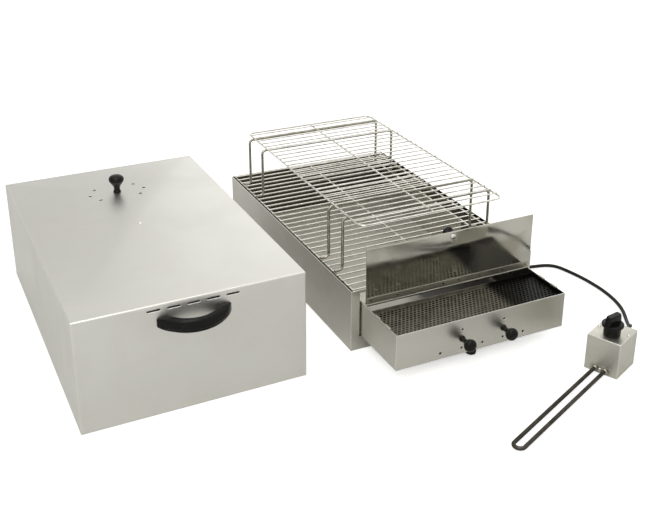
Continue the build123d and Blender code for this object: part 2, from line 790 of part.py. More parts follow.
for side, name in ((1, "back"), (-1, "front")):
    with BuildPart() as cover_screw:
        with BuildSketch(housing_plane.offset(housing_z)):
            with Locations((cover_screw_x, side * cover_screw_y)):
                Circle(cover_screw_radius)
        extrude(amount=1.5)
        with BuildSketch(housing_plane.offset(housing_z)):
            with Locations((cover_screw_x, side * cover_screw_y)):
                Circle(cover_screw_radius - 1.1)
        extrude(amount=-(sheet + 1.5 + 4.0))
    save(cover_screw, "cover_screw_" + name)

# Terminal block on the base plate, which holds the ends of the element
with BuildPart() as terminal_block:
    block_x_middle = -housing_x / 2 + sheet + block_x / 2 + 2.0
    with BuildSketch(housing_plane.offset(sheet)):
        with Locations((block_x_middle, element_offset)):
            Rectangle(block_x, block_y)
    extrude(amount=block_z)
    with BuildSketch(
        side_plane(housing_plane, -housing_x / 2 + sheet + 2.0, element_offset, element_level, (0, -1, 0), (-1, 0, 0))
    ):
        with GridLocations(element_spacing, 1, 2, 1):
            Circle(element_radius)
    extrude(amount=-(element_inside - 2.0), mode=Mode.SUBTRACT)
    with BuildSketch(
        side_plane(housing_plane, -housing_x / 2 + sheet + 2.0, element_offset, element_level, (0, -1, 0), (-1, 0, 0))
    ):
        Circle(flange_screw_radius)
    extrude(amount=-6.0, mode=Mode.SUBTRACT)
save(terminal_block, "terminal_block")

# Heating element: one rod bent into a long U
rod_start = -housing_x / 2 + sheet + element_inside
rod_turn = -element_reach + element_spacing / 2 + element_radius
with BuildPart() as heating_element:
    with BuildLine(housing_plane.offset(element_level)) as rod_path:
        half = element_spacing / 2
        Line((rod_start, element_offset - half), (rod_turn, element_offset - half))
        ThreePointArc(
            (rod_turn, element_offset - half), (rod_turn - half, element_offset), (rod_turn, element_offset + half)
        )
        Line((rod_turn, element_offset + half), (rod_start, element_offset + half))
    with BuildSketch(
        side_plane(housing_plane, rod_start, element_offset - half, element_level, (0, -1, 0), (-1, 0, 0))
    ):
        Circle(element_radius)
    sweep(path=rod_path.line)
save(heating_element, "heating_element")

# Flange plate where the rods leave the housing, with its screw between them
flange_face = side_plane(housing_plane, -housing_x / 2, element_offset, element_level, (0, -1, 0), (-1, 0, 0))
with BuildPart() as element_flange:
    with BuildSketch(flange_face):
        RectangleRounded(flange_length, flange_height, 3.0)
        with GridLocations(element_spacing, 1, 2, 1):
            Circle(element_radius, mode=Mode.SUBTRACT)
        Circle(flange_screw_radius, mode=Mode.SUBTRACT)
    extrude(amount=flange_sheet)
save(element_flange, "element_flange")

with BuildPart() as flange_screw:
    with BuildSketch(flange_face.offset(flange_sheet)):
        Circle(flange_screw_radius + 1.5)
    extrude(amount=2.0)
    with BuildSketch(flange_face.offset(flange_sheet)):
        Circle(flange_screw_radius)
    extrude(amount=-(flange_sheet + sheet + 2.0 + 6.0))
save(flange_screw, "flange_screw")

# Selector: spindle, round skirt with a wider flange, and a bar grip on top
with BuildPart() as selector_knob:
    with BuildSketch(housing_plane.offset(regulator_top - 1.5 - regulator_z / 2)):
        with Locations(selector_place):
            Circle(selector_spindle)
    extrude(amount=regulator_z / 2 + 1.5 + sheet + gap)
    with BuildSketch(housing_plane.offset(housing_z + gap)):
        with Locations(selector_place):
            Circle(selector_skirt)
    extrude(amount=selector_skirt_height)
    with BuildSketch(housing_plane.offset(housing_z + gap + selector_skirt_height)):
        with Locations(selector_place):
            Circle(selector_flange)
    extrude(amount=selector_flange_height)
    grip_bottom = housing_z + gap + selector_skirt_height + selector_flange_height
    with BuildSketch(housing_plane.offset(grip_bottom)):
        with Locations(selector_place):
            Circle(selector_flange - 1.5)
            with Locations((0, selector_flange / 2 + selector_grip / 2)):
                Rectangle(2 * selector_flange, selector_flange, mode=Mode.SUBTRACT)
            with Locations((0, -selector_flange / 2 - selector_grip / 2)):
                Rectangle(2 * selector_flange, selector_flange, mode=Mode.SUBTRACT)
    extrude(amount=selector_grip_height)
save(selector_knob, "selector_knob")

# Cable gland and tapered strain relief on the far side of the housing
gland_face = side_plane(housing_plane, housing_x / 2, gland_offset, gland_level, (0, 1, 0), (1, 0, 0))
with BuildPart() as cable_gland:
    with BuildSketch(gland_face.offset(-sheet - 3.0)):
        Circle(gland_radius - 2.0)
    extrude(amount=sheet + 3.0)
    with BuildSketch(gland_face):
        Circle(gland_radius)
    extrude(amount=gland_length)
save(cable_gland, "cable_gland")

with BuildPart() as cord_relief:
    with BuildSketch(gland_face.offset(gland_length)):
        Circle(relief_radius)
    with BuildSketch(gland_face.offset(gland_length + relief_length)):
        Circle(cord_radius + 0.9)
    loft()
save(cord_relief, "cord_relief")


def corner_radii(points):
    """A radius for each corner: 0.45 of the shorter run over the tangent of half the turn."""
    spots = [Vector(*point) for point in points]
    radii = []
    for before, corner, after in zip(spots, spots[1:], spots[2:]):
        one = corner - before
        two = after - corner
        half_turn = radians(one.get_angle(two)) / 2
        radii.append(0.45 * min(one.length, two.length) / tan(half_turn))
    return radii


def housing_point(x, y, z):
    """A point given in the housing's frame."""
    spot = housing_plane.from_local_coords(Vector(x, y, z))
    return (spot.X, spot.Y, spot.Z)


def tube(path, start, direction):
    """A round cord along a path."""
    with BuildPart() as builder:
        with BuildSketch(Plane(origin=start, z_dir=direction)):
            RegularPolygon(cord_radius, cord_sides)
        sweep(path=path)
    return builder


# Mains lead: from the relief down to the floor and round to the coil
coil_x, coil_y = coil_place
coil_start = (coil_x - coil_radius, coil_y - coil_lead, cord_level)
lead_start = housing_x / 2 + gland_length + relief_length
cord_points = [
    housing_point(lead_start, gland_offset, gland_level),
    housing_point(lead_start + 23, gland_offset, gland_level),
    housing_point(112, 15, 19),
    housing_point(148, 34, cord_level),
    (343, -382, cord_level),
    (356, -325, cord_level),
    (355, -268, cord_level),
    (347, -222, cord_level),
    (334, -180, cord_level),
    (284, -169.5, cord_level),
    (coil_x - coil_radius, -152, cord_level),
    coil_start,
]
radii = corner_radii(cord_points)
print("cord corner radii", [round(radius, 1) for radius in radii])
with BuildLine() as cord_path:
    FilletPolyline(*cord_points, radius=radii)
cord_length = cord_path.wires()[0].length
gland_normal = housing_plane.from_local_coords(Vector(1, 0, 0)) - housing_plane.origin
cord = tube(cord_path.wires()[0], cord_points[0], gland_normal)
cord_section = cord_sides / 2 * cord_radius**2 * sin(2 * pi / cord_sides)
print("cord length", round(cord_length, 1), "volume ratio", round(cord.part.volume / (cord_section * cord_length), 4))
save(cord, "cord")

# Coil: two flat spirals, one on the other, wound inwards and then outwards.
# Half turns take offsets in steps of half the pitch, left side and right side in turn.
steps_down = [0.0, -0.5, -1.0, -1.5, -2.0]
steps_up = [-2.5, -1.5, -1.0, -0.5]
upper_level = cord_level + coil_layer


def coil_spot(step, side, level):
    """Where the coil crosses its middle line, on the left (-1) or on the right (1)."""
    return Vector(coil_x + side * (coil_radius + step * coil_pitch), coil_y, level)


coil_spots = []
side = -1
for step in steps_down:
    coil_spots.append(coil_spot(step, side, cord_level))
    side = -side
for step in steps_up:
    coil_spots.append(coil_spot(step, side, upper_level))
    side = -side
plug_level = plug_radius + 0.1
tail = [
    coil_spots[-1],
    coil_spots[-1] + Vector(0, 26, 0),
    coil_spots[-1] + Vector(0, 62, plug_level - upper_level),
    Vector(coil_spots[-1].X, plug_start, plug_level),
]
with BuildLine() as coil_path:
    Line(coil_start, coil_spots[0])
    for number, (one, two) in enumerate(zip(coil_spots, coil_spots[1:])):
        middle = (one + two) / 2
        bulge = (two - one).length / 2 * (1 if number % 2 == 0 else -1)
        ThreePointArc(one, middle + Vector(0, bulge, 0), two)
    FilletPolyline(*tail, radius=corner_radii([(spot.X, spot.Y, spot.Z) for spot in tail]))
coil_wire = coil_path.wires()[0]
coil_length = coil_wire.length
coil = tube(coil_wire, coil_start, (0, 1, 0))
print("coil length", round(coil_length, 1), "volume ratio", round(coil.part.volume / (cord_section * coil_length), 4))
print("lead length", round(cord_length + coil_length, 1))
coil_marks = [coil_wire.position_at(number / 900) for number in range(901)]
coil_step = coil_length / 900
far_apart = int(6 * cord_radius / coil_step) + 1
least = min(
    (coil_marks[one] - coil_marks[two]).length
    for one in range(0, 901)
    for two in range(one + far_apart, 901)
)
print("least gap of the coil to itself", round(least - 2 * cord_radius, 2))
save(coil, "cord_coil")

# Plug, lying beside the coil
plug_x = coil_spots[-1].X
plug_plane = Plane(origin=(plug_x, plug_start, plug_level), x_dir=(1, 0, 0), z_dir=(0, 1, 0))
with BuildPart() as plug:
    with BuildSketch(plug_plane):
        Circle(cord_radius + 1.2)
    with BuildSketch(plug_plane.offset(plug_neck)):
        Circle(8.0)
    loft()
    with BuildSketch(plug_plane.offset(plug_neck)):
        Circle(12.0)
    with BuildSketch(plug_plane.offset(plug_neck + 18)):
        Circle(plug_radius)
    loft()
    with BuildSketch(plug_plane.offset(plug_neck + 18)):
        Circle(plug_radius)
    extrude(amount=plug_body - 18)
    with BuildSketch(plug_plane.offset(plug_neck + plug_body)):
        with GridLocations(pin_spacing, 1, 2, 1):
            Circle(plug_pin_radius)
    extrude(amount=-6.0, mode=Mode.SUBTRACT)
save(plug, "plug")

for side, name in ((-1, "left"), (1, "right")):
    with BuildPart() as plug_pin:
        with BuildSketch(plug_plane.offset(plug_neck + plug_body - 6.0)):
            with Locations((side * pin_spacing / 2, 0)):
                Circle(plug_pin_radius)
        extrude(amount=6.0 + plug_pin_length)
    save(plug_pin, "plug_pin_" + name)
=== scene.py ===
"""Visible surfaces of an electric smoker, shown opened out on a pale floor.

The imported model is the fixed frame. Lengths in the shape functions and their constants are
millimetres, as on a workshop drawing, and every mesh is written in metres.
"""

import bpy
import numpy as np
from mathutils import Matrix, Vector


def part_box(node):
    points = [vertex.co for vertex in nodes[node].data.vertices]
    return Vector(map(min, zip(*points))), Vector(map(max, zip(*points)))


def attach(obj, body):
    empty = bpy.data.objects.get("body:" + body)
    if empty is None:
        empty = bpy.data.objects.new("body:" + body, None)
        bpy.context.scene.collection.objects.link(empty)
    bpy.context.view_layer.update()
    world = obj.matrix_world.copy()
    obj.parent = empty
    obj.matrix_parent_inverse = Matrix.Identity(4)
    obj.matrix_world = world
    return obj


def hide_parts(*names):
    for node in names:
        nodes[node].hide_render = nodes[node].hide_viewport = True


bl_info = {
    "name": "Electric smoker",
    "version": (1, 0, 0),
    "blender": (4, 5, 0),
    "location": "View3D > Sidebar > Smoker",
    "description": "Dresses an electric smoker: pan, grills, lid, smoke box, flap, tray and heater",
    "category": "Object",
}

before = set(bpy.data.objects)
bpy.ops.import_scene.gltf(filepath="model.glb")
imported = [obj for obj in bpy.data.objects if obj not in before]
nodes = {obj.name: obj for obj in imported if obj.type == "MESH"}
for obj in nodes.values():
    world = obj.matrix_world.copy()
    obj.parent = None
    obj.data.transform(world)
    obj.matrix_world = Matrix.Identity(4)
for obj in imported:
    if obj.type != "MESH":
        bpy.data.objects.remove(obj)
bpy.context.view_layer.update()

RIGHT = (1, 0, 0)
LEFT = (-1, 0, 0)
BACK = (0, 1, 0)
FRONT = (0, -1, 0)
UP = (0, 0, 1)


def node_box(name):
    """Lowest corner, highest corner and middle of a CAD node, in millimetres."""
    low, high = [np.array(corner) * 1000.0 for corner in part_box(name)]
    return low, high, (low + high) / 2


def face_middle(low, high, axis):
    """The middle of the face by which a direction enters a box."""
    axis = np.array(axis)
    return np.where(axis > 0, low, np.where(axis < 0, high, (low + high) / 2))


def grid_faces(rows, columns, wrap_rows=False, wrap_columns=False):
    """Quads of a grid of points numbered row by row. A quad joins a point with its neighbours in
    the next column and the next row, and a wrapped direction runs on to its first line."""
    row = np.arange(rows if wrap_rows else rows - 1)
    column = np.arange(columns if wrap_columns else columns - 1)
    row, column = [part.ravel() for part in np.meshgrid(row, column, indexing="ij")]
    near = row * columns
    far = (row + 1) % rows * columns
    next_column = (column + 1) % columns
    return np.stack([near + column, near + next_column, far + next_column, far + column], axis=1).tolist()


def skin(rings, wrap=False):
    """Surface through rings of points that run counterclockwise about the direction of travel.
    The first and last ring are filled flat, unless the last one joins the first."""
    rings = np.asarray(rings, float)
    count, around = rings.shape[:2]
    faces = grid_faces(count, around, wrap, True)
    if not wrap:
        faces.append(list(range(around))[::-1])
        faces.append(list(range((count - 1) * around, count * around)))
    return rings.reshape(-1, 3), faces


def joined(*shapes):
    """Several shapes as one: the points in a row, with each shape's face numbers moved up by the
    number of points before it."""
    points = []
    faces = []
    start = 0
    for spots, polygons in shapes:
        points.append(spots)
        faces.extend([[index + start for index in polygon] for polygon in polygons])
        start += len(spots)
    return np.concatenate(points), faces


def repeated(shape, offsets):
    """Copies of one shape, each moved by one offset: all points plus all offsets as one array."""
    points, faces = shape
    offsets = np.asarray(offsets, float)
    moved = (points[None, :, :] + offsets[:, None, :]).reshape(-1, 3)
    starts = range(0, len(offsets) * len(points), len(points))
    return moved, [[index + start for index in polygon] for start in starts for polygon in faces]


def placed(shape, origin, turn=0.0):
    """A shape turned about the vertical by an angle in degrees, then moved to an origin:
    x' = x cos - y sin, y' = x sin + y cos."""
    points, faces = shape
    cos = np.cos(np.radians(turn))
    sin = np.sin(np.radians(turn))
    turning = np.array([[cos, sin, 0], [-sin, cos, 0], [0, 0, 1]])
    return points @ turning + np.asarray(origin, float), faces


def unit(vectors):
    """Vectors over their own length."""
    return vectors / np.linalg.norm(vectors, axis=-1, keepdims=True)


def carried(section, path, across, wrap=False, scale=None):
    """A section carried along a path. The tangent at a point is the step from the point before to
    the point after. Side = across x tangent and rise = tangent x side, so a section point (a, b)
    lands at the path point + a * side + b * rise, times the local scale."""
    if wrap:
        tangent = unit(np.roll(path, -1, axis=0) - np.roll(path, 1, axis=0))
    else:
        tangent = unit(np.gradient(path, axis=0))
    side = unit(np.cross(np.asarray(across, float), tangent))
    rise = np.cross(tangent, side)
    size = np.ones(len(path)) if scale is None else scale
    spots = (
        path[:, None, :]
        + section[None, :, 0, None] * side[:, None, :] * size[:, None, None]
        + section[None, :, 1, None] * rise[:, None, :] * size[:, None, None]
    )
    return skin(spots, wrap)


def rounded_path(corners, radius, steps):
    """A path with its corners rounded. The arc's centre lies inside the corner, radius over the cosine
    of half the turn away, and its points are centre - inward * radius * cos a + along * radius * sin a
    for angles a from minus to plus half the turn."""
    corners = np.asarray(corners, float)
    path = [corners[:1]]
    for last, corner, following in zip(corners[:-2], corners[1:-1], corners[2:]):
        before = unit(corner - last)
        after = unit(following - corner)
        turn = np.arccos(np.clip(np.dot(before, after), -1, 1))
        inward = unit(after - before)
        middle = corner + inward * radius / np.cos(turn / 2)
        angle = np.linspace(-turn / 2, turn / 2, steps + 1)[:, None]
        along = unit(before + after)
        path.append(middle - inward * radius * np.cos(angle) + along * radius * np.sin(angle))
    return np.concatenate([*path, corners[-1:]])


def wire(path, radius, across, sides, wrap=False):
    """A round wire along a path: its section is radius times cosine and sine of equal steps of angle.
    Its ends are eased: the last ring is a share of the radius, and the one before it, a share of the
    radius inwards, has the full radius."""
    end_share = 0.72
    end_step = 0.34
    path = np.asarray(path, float)
    angle = np.arange(sides) * 2 * np.pi / sides
    section = np.stack([np.cos(angle), np.sin(angle)], axis=1) * radius
    if wrap:
        return carried(section, path, across, True)
    first = path[0] + unit(path[1] - path[0]) * radius * end_step
    last = path[-1] + unit(path[-2] - path[-1]) * radius * end_step
    path = np.concatenate([path[:1], first[None], path[1:-1], last[None], path[-1:]])
    scale = np.ones(len(path))
    scale[[0, -1]] = end_share
    return carried(section, path, across, False, scale)


def softened(points, times=2):
    """A line with its corners cut again and again: each corner gives way to the points at a quarter
    of the two runs that meet there. The ends stay."""
    points = np.asarray(points, float)
    for _ in range(times):
        first = points[:-1] * 0.75 + points[1:] * 0.25
        second = points[:-1] * 0.25 + points[1:] * 0.75
        between = np.stack([first, second], axis=1).reshape(-1, points.shape[1])
        points = np.concatenate([points[:1], between[1:-1], points[-1:]])
    return points


def turned(outline, origin, axis, sides, flutes=0, depth=0.0, flute_span=(0.0, 0.0)):
    """An outline of (distance, height) turned about an axis: origin + height * axis + distance times
    the two cross directions' cosine and sine. Between two heights the distance may dip by depth at
    each of a number of flutes: distance - depth * (1 - cos(flutes * angle)) / 2."""
    outline = np.asarray(outline, float)
    axis = np.asarray(axis, float)
    aside = np.array(BACK if abs(axis[0]) > 0.9 else RIGHT, float)
    one = unit(np.cross(aside, axis))
    two = np.cross(axis, one)
    angle = np.arange(sides) * 2 * np.pi / sides
    low, high = flute_span
    inside = (outline[:, 1] >= low) & (outline[:, 1] <= high)
    reach = outline[:, :1] - inside[:, None] * depth * (1 - np.cos(flutes * angle))[None, :] / 2
    spots = (
        np.asarray(origin, float)
        + outline[:, 1, None, None] * axis
        + (reach * np.cos(angle))[:, :, None] * one
        + (reach * np.sin(angle))[:, :, None] * two
    )
    return skin(spots)


def frame_loop(width, length, radius, level, steps=6):
    """A rectangle with rounded corners at one level, counterclockwise seen from above: each corner
    is centre + radius * (cos, sin) over its quarter turn."""
    half_x = width / 2 - radius
    half_y = length / 2 - radius
    centres = np.array([[half_x, half_y], [-half_x, half_y], [-half_x, -half_y], [half_x, -half_y]])
    angle = np.linspace(0, np.pi / 2, steps + 1)[None, :] + np.arange(4)[:, None] * np.pi / 2
    flat = centres[:, None, :] + radius * np.stack([np.cos(angle), np.sin(angle)], axis=2)
    flat = flat.reshape(-1, 2)
    return np.column_stack([flat, np.full(len(flat), float(level))])


def folded_cover(width, length, height, thickness, fold):
    """A sheet cover with four walls and a top. Its outer rings climb the walls and go round the top
    fold, on rounded rectangles: inset = fold * (1 - cos a), level = height - fold * (1 - sin a) over a
    quarter turn. Its inner rings come down one thickness inside, and a rim joins both below."""
    rings = [frame_loop(width, length, fold, 0.0)]
    for angle in np.linspace(0, np.pi / 2, 6):
        inset = fold * (1 - np.cos(angle))
        level = height - fold * (1 - np.sin(angle))
        rings.append(frame_loop(width - 2 * inset, length - 2 * inset, max(fold - inset, 0.02), level))
    inner_width = width - 2 * thickness
    inner_length = length - 2 * thickness
    ceiling = height - thickness
    outside, faces = skin(rings)
    inside, inside_faces = skin([
        frame_loop(inner_width - 2, inner_length - 2, 0.3, ceiling),
        frame_loop(inner_width, inner_length, 0.6, ceiling - 1),
        frame_loop(inner_width, inner_length, 0.6, 0.0),
    ])
    del faces[-2], inside_faces[-1]
    points, faces = joined((outside, faces), (inside, inside_faces))
    around = len(rings[0])
    start = len(points) - around
    rim = [[start + k, start + (k + 1) % around, (k + 1) % around, k] for k in range(around)]
    return points, faces + rim


def plate(x, y, z, ease):
    """A flat block between two values on each axis, with eased edges: rings of a rounded rectangle
    whose outline steps in by the ease at its top and bottom."""
    low, high = np.sort(np.array([x, y, z], float), axis=1).T
    middle = (low + high) / 2
    width, length, height = high - low
    ease = min(ease, width * 0.3, length * 0.3, height * 0.45)
    rings = [
        frame_loop(width - 2 * inset, length - 2 * inset, ease * 1.2, level, 2)
        for inset, level in ((ease, 0), (0, ease), (0, height - ease), (ease, height))
    ]
    points, faces = skin(rings)
    return points + np.array([middle[0], middle[1], low[2]]), faces


def make_piece(name, shape, body, slot, replaced=(), smooth=35.0, look=None):
    """One object from a shape in millimetres, shaded smooth except where faces meet at more than an
    angle. It rides on a body of the frame, and its finish is its slot's, unless a look is named."""
    points, faces = shape
    mesh = bpy.data.meshes.new(name)
    mesh.from_pydata((points / 1000.0).tolist(), [], faces)
    mesh.validate()
    mesh.update()
    mesh.shade_smooth()
    mesh.set_sharp_from_angle(angle=np.radians(smooth))
    mesh.materials.append(finish_for(look or slot))
    piece = bpy.data.objects.new(name, mesh)
    bpy.context.scene.collection.objects.link(piece)
    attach(piece, body)
    if replaced:
        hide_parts(*replaced)
    return piece


def dress(look, *names):
    """Gives CAD nodes a finish."""
    for name in names:
        nodes[name].data.materials.clear()
        nodes[name].data.materials.append(finish_for(look))


# Shader nodes. A node's inputs are given as values or as other nodes' outputs


def feed(node, inputs):
    """Sets inputs of a node, by name or number. A value is written, with a colour of three parts made
    opaque, and another node's output is linked."""
    for key, value in inputs.items():
        socket = node.inputs[key]
        if isinstance(value, bpy.types.NodeSocket):
            node.id_data.links.new(value, socket)
        elif socket.type == "RGBA":
            socket.default_value = (*value, 1.0)
        else:
            socket.default_value = value


def add(tree, kind, inputs=None, **settings):
    """A shader node with some of its settings and inputs."""
    node = tree.nodes.new("ShaderNode" + kind)
    for key, value in settings.items():
        setattr(node, key, value)
    feed(node, inputs or {})
    return node


def object_place(tree):
    """The place on the object's own axes, in metres."""
    return add(tree, "TexCoord").outputs["Object"]


def number(tree, operation, *values, clamp=False):
    """The result of an operation on numbers."""
    return add(tree, "Math", dict(enumerate(values)), operation=operation, use_clamp=clamp).outputs[0]


def vector(tree, operation, *values):
    """The result of an operation on vectors."""
    return add(tree, "VectorMath", dict(enumerate(values)), operation=operation).outputs[0]


def parts_of(tree, value):
    """The three parts of a vector, by name or number."""
    return add(tree, "SeparateXYZ", {0: value}).outputs


def ranged(tree, value, low, high, first=0.0, last=1.0, steps="LINEAR"):
    """A value on its way from low to high as a way from first to last, and held outside it."""
    inputs = {0: value, 1: low, 2: high, 3: first, 4: last}
    return add(tree, "MapRange", inputs, interpolation_type=steps).outputs[0]


def noise(tree, place, scale, detail, roughness=0.5, distortion=0.0):
    """Soft noise at a place, about one half."""
    inputs = {"Vector": place, "Scale": scale, "Detail": detail, "Roughness": roughness}
    return add(tree, "TexNoise", {**inputs, "Distortion": distortion}).outputs[0]


def mixed(tree, share, first, second, blend="MIX"):
    """A colour that goes from a first one to a second one by a share."""
    return add(tree, "Mix", {0: share, 6: first, 7: second}, data_type="RGBA", blend_type=blend).outputs[2]


def between(tree, share, first, second):
    """A number that goes from a first one to a second one by a share."""
    return add(tree, "Mix", {0: share, 2: first, 3: second}, data_type="FLOAT").outputs[0]


def bumped(tree, height, strength, distance, **normal):
    """A normal that leans with a height, from the surface's own one or from a given Normal."""
    inputs = {"Height": height, "Strength": strength, "Distance": distance}
    return add(tree, "Bump", {**inputs, **normal}).outputs[0]


# Shared effects, each a node group made at its first use


def new_effect(name, inputs, results):
    """An empty node group with the values of its inputs and the names of its results, which are
    numbers. Gives the group, its inputs' sockets and its output node."""
    group = bpy.data.node_groups.new(name, "ShaderNodeTree")
    for label, value in inputs.items():
        kind = "NodeSocketVector" if isinstance(value, tuple) else "NodeSocketFloat"
        group.interface.new_socket(name=label, in_out="INPUT", socket_type=kind).default_value = value
    for label in results:
        group.interface.new_socket(name=label, in_out="OUTPUT", socket_type="NodeSocketFloat")
    return group, group.nodes.new("NodeGroupInput").outputs, group.nodes.new("NodeGroupOutput")


def brushed_grain():
    """Brushed grain: noise on coordinates stretched per axis, so it runs in lines. Gives a height, and
    a tone of 1 + contrast * (height - 0.5)."""
    group, given, result = new_effect(
        "brushed_grain", {"Stretch": (40.0, 900.0, 900.0), "Contrast": 0.1}, ["Height", "Tone"]
    )
    lines = vector(group, "MULTIPLY", object_place(group), given["Stretch"])
    height = noise(group, lines, 1.0, 5.0, 0.62)
    centred = number(group, "SUBTRACT", height, 0.5)
    tone = number(group, "MULTIPLY_ADD", centred, given["Contrast"], 1.0)
    feed(result, {"Height": height, "Tone": tone})
    return group


def handling_marks():
    """Handling marks: two scales of soft noise, the coarse one masking the fine one. Gives a mask
    from none to full: amount * (coarse + 0.75 * coarse * fine)."""
    group, given, result = new_effect("handling_marks", {"Size": 9.0, "Amount": 0.5}, ["Mask"])
    place = object_place(group)
    coarse = ranged(group, noise(group, place, given["Size"], 3.0, 0.5, 0.4), 0.38, 0.72)
    fine = ranged(group, noise(group, place, 160.0, 4.0, 0.7), 0.35, 0.75)
    both = number(group, "MULTIPLY", coarse, fine)
    blend = number(group, "MULTIPLY_ADD", both, 0.75, coarse)
    feed(result, {"Mask": number(group, "MULTIPLY", blend, given["Amount"], clamp=True)})
    return group


def worn_edges():
    """Painted edge highlight, where an eased normal leaves the true one: a pale colour is mixed in there. The
    mask is full where their product has come down to 0.86, and none where it is nearly one."""
    group, given, result = new_effect("worn_edges", {"Normal": (0.0, 0.0, 1.0)}, ["Mask"])
    true = add(group, "NewGeometry").outputs["True Normal"]
    near = add(group, "VectorMath", {0: true, 1: given["Normal"]}, operation="DOT_PRODUCT").outputs["Value"]
    feed(result, {"Mask": ranged(group, near, 0.999, 0.86)})
    return group


NO_FADE = (0.00001, 0.00001, 0.00001)


def inside_of_box():
    """A box test on Object coordinates: (half - |place - middle|) / fade, the least of the three axes,
    plus ragged noise. The mask is none outside the box and full from one fade inside it."""
    group, given, result = new_effect(
        "inside_of_box", {"Middle": (0.0, 0.0, 0.0), "Half": (1.0, 1.0, 1.0), "Fade": NO_FADE}, ["Mask"]
    )
    place = object_place(group)
    away = vector(group, "ABSOLUTE", vector(group, "SUBTRACT", place, given["Middle"]))
    room = vector(group, "SUBTRACT", given["Half"], away)
    depth = parts_of(group, vector(group, "DIVIDE", room, given["Fade"]))
    least = number(group, "MINIMUM", number(group, "MINIMUM", depth[0], depth[1]), depth[2])
    ragged = ranged(group, noise(group, place, 28.0, 3.0), 0.0, 1.0, -0.5, 0.5)
    least = number(group, "ADD", least, ragged)
    feed(result, {"Mask": ranged(group, least, 0.0, 1.0, steps="SMOOTHSTEP")})
    return group


def effect(tree, maker, **inputs):
    """The outputs of a shared effect, put into a tree."""
    group = bpy.data.node_groups.get(maker.__name__) or maker()
    node = add(tree, "Group", node_tree=group)
    feed(node, inputs)
    return node.outputs


# Finishes


def new_finish(name):
    """A material with its tree and its Principled shader."""
    finish = bpy.data.materials.new(name)
    finish.use_nodes = True
    tree = finish.node_tree
    tree.nodes.clear()
    shader = add(tree, "BsdfPrincipled")
    add(tree, "OutputMaterial", {0: shader.outputs[0]})
    return finish, tree, shader


def sheet_finish(name, colour, rougher, stretch, contrast, bump, marks, edge, marks_size=9.0):
    """Satin steel sheet: brushed grain in tone and height, handling marks that dull it, and eased edges with
    a painted highlight, a pale colour mixed in where the eased normal leaves the true one."""
    finish, tree, shader = new_finish(name)
    roughness = bpy.context.scene.smoker_finishes.sheet_roughness + rougher
    grain = effect(tree, brushed_grain, Stretch=stretch, Contrast=contrast)
    worn = effect(tree, handling_marks, Size=marks_size, Amount=marks)["Mask"]
    eased = add(tree, "Bevel", {"Radius": edge / 1000.0}, samples=4).outputs[0]
    # Painted highlight: a pale colour along the eased edges
    edge_highlight = effect(tree, worn_edges, Normal=eased)["Mask"]
    brushed = mixed(tree, 1.0, colour, grain["Tone"], "MULTIPLY")
    dulled = mixed(tree, worn, brushed, (0.90, 0.89, 0.86), "MULTIPLY")
    feed(shader, {
        "Metallic": 1.0,
        "Base Color": mixed(tree, edge_highlight, dulled, (1.0, 0.995, 0.97)),
        "Roughness": ranged(tree, worn, 0.0, 1.0, roughness, min(roughness + 0.14, 1.0)),
        "Normal": bumped(tree, grain["Height"], bump, 0.0004, Normal=eased),
    })
    return finish


def weathered(shader, worn, colour, stain, smooth, rough, stained=None):
    """Gives a shader a colour and a roughness that both change where a mask is full. The stain may
    follow a mask of its own."""
    tree = shader.id_data
    feed(shader, {
        "Base Color": mixed(tree, worn if stained is None else stained, colour, stain),
        "Roughness": ranged(tree, worn, 0.0, 1.0, smooth, rough),
    })


def plated_finish(name, colour, roughness, stain, amount, scale=60.0):
    """Plated wire and screws: bright metal with small stained patches from heat and use."""
    finish, tree, shader = new_finish(name)
    worn = effect(tree, handling_marks, Size=scale, Amount=amount)["Mask"]
    weathered(shader, worn, colour, stain, roughness, roughness + 0.22)
    feed(shader, {"Metallic": 1.0})
    return finish


def moulded_finish(name, colour, roughness, pebble, scale, gloss=0.2):
    """Moulded plastic or rubber: even colour with fine pebbling and a little dust in its marks."""
    finish, tree, shader = new_finish(name)
    worn = effect(tree, handling_marks, Size=45.0, Amount=0.5)["Mask"]
    dust = [min(part * 1.5 + 0.003, 1) for part in colour]
    weathered(shader, worn, colour, dust, roughness, roughness + 0.16)
    pebbles = noise(tree, object_place(tree), scale, 2.0)
    feed(shader, {"Specular IOR Level": gloss, "Normal": bumped(tree, pebbles, pebble, 0.0003)})
    return finish


def perforated_finish(name, colour, soot_and_shade):
    """Dark tray sheet: worn metal, with soot in its handling marks, and soot with painted shade over its
    right part, the shade of the box's right wall.
    """
    finish, tree, shader = new_finish(name)
    worn = effect(tree, handling_marks, Size=60.0, Amount=0.35)["Mask"]
    along = parts_of(tree, object_place(tree))["X"]
    # Painted shade, taken also as soot: the tray turns dark over its right part, along X
    side = ranged(tree, along, 0.050, 0.078, steps="SMOOTHSTEP")
    soot_and_shade_mask = number(tree, "MAXIMUM", worn, side, clamp=True)
    weathered(shader, worn, colour, soot_and_shade, 0.38, 0.62, soot_and_shade_mask)
    feed(shader, {"Metallic": 0.85})
    return finish


def polished_finish(name, colour, tint, cupping):
    """Polished flap: near mirror, with a faint heat tint in patches, fine lines along it, and a sheet
    that is cupped: its height is a share of Z, plus slow ripples."""
    finish, tree, shader = new_finish(name)
    worn = effect(tree, handling_marks, Size=14.0, Amount=0.6)["Mask"]
    weathered(shader, worn, colour, tint, 0.07, 0.20)
    place = object_place(tree)
    lean = number(tree, "MULTIPLY", parts_of(tree, place)["Z"], cupping)
    cup = number(tree, "MULTIPLY_ADD", noise(tree, place, 11.0, 1.0), 0.0012, lean)
    lines = effect(tree, brushed_grain, Stretch=(10.0, 400.0, 700.0))["Height"]
    normal = bumped(tree, lines, 0.03, 0.0003, Normal=bumped(tree, cup, 1.0, 1.0))
    feed(shader, {"Metallic": 1.0, "Normal": normal})
    return finish


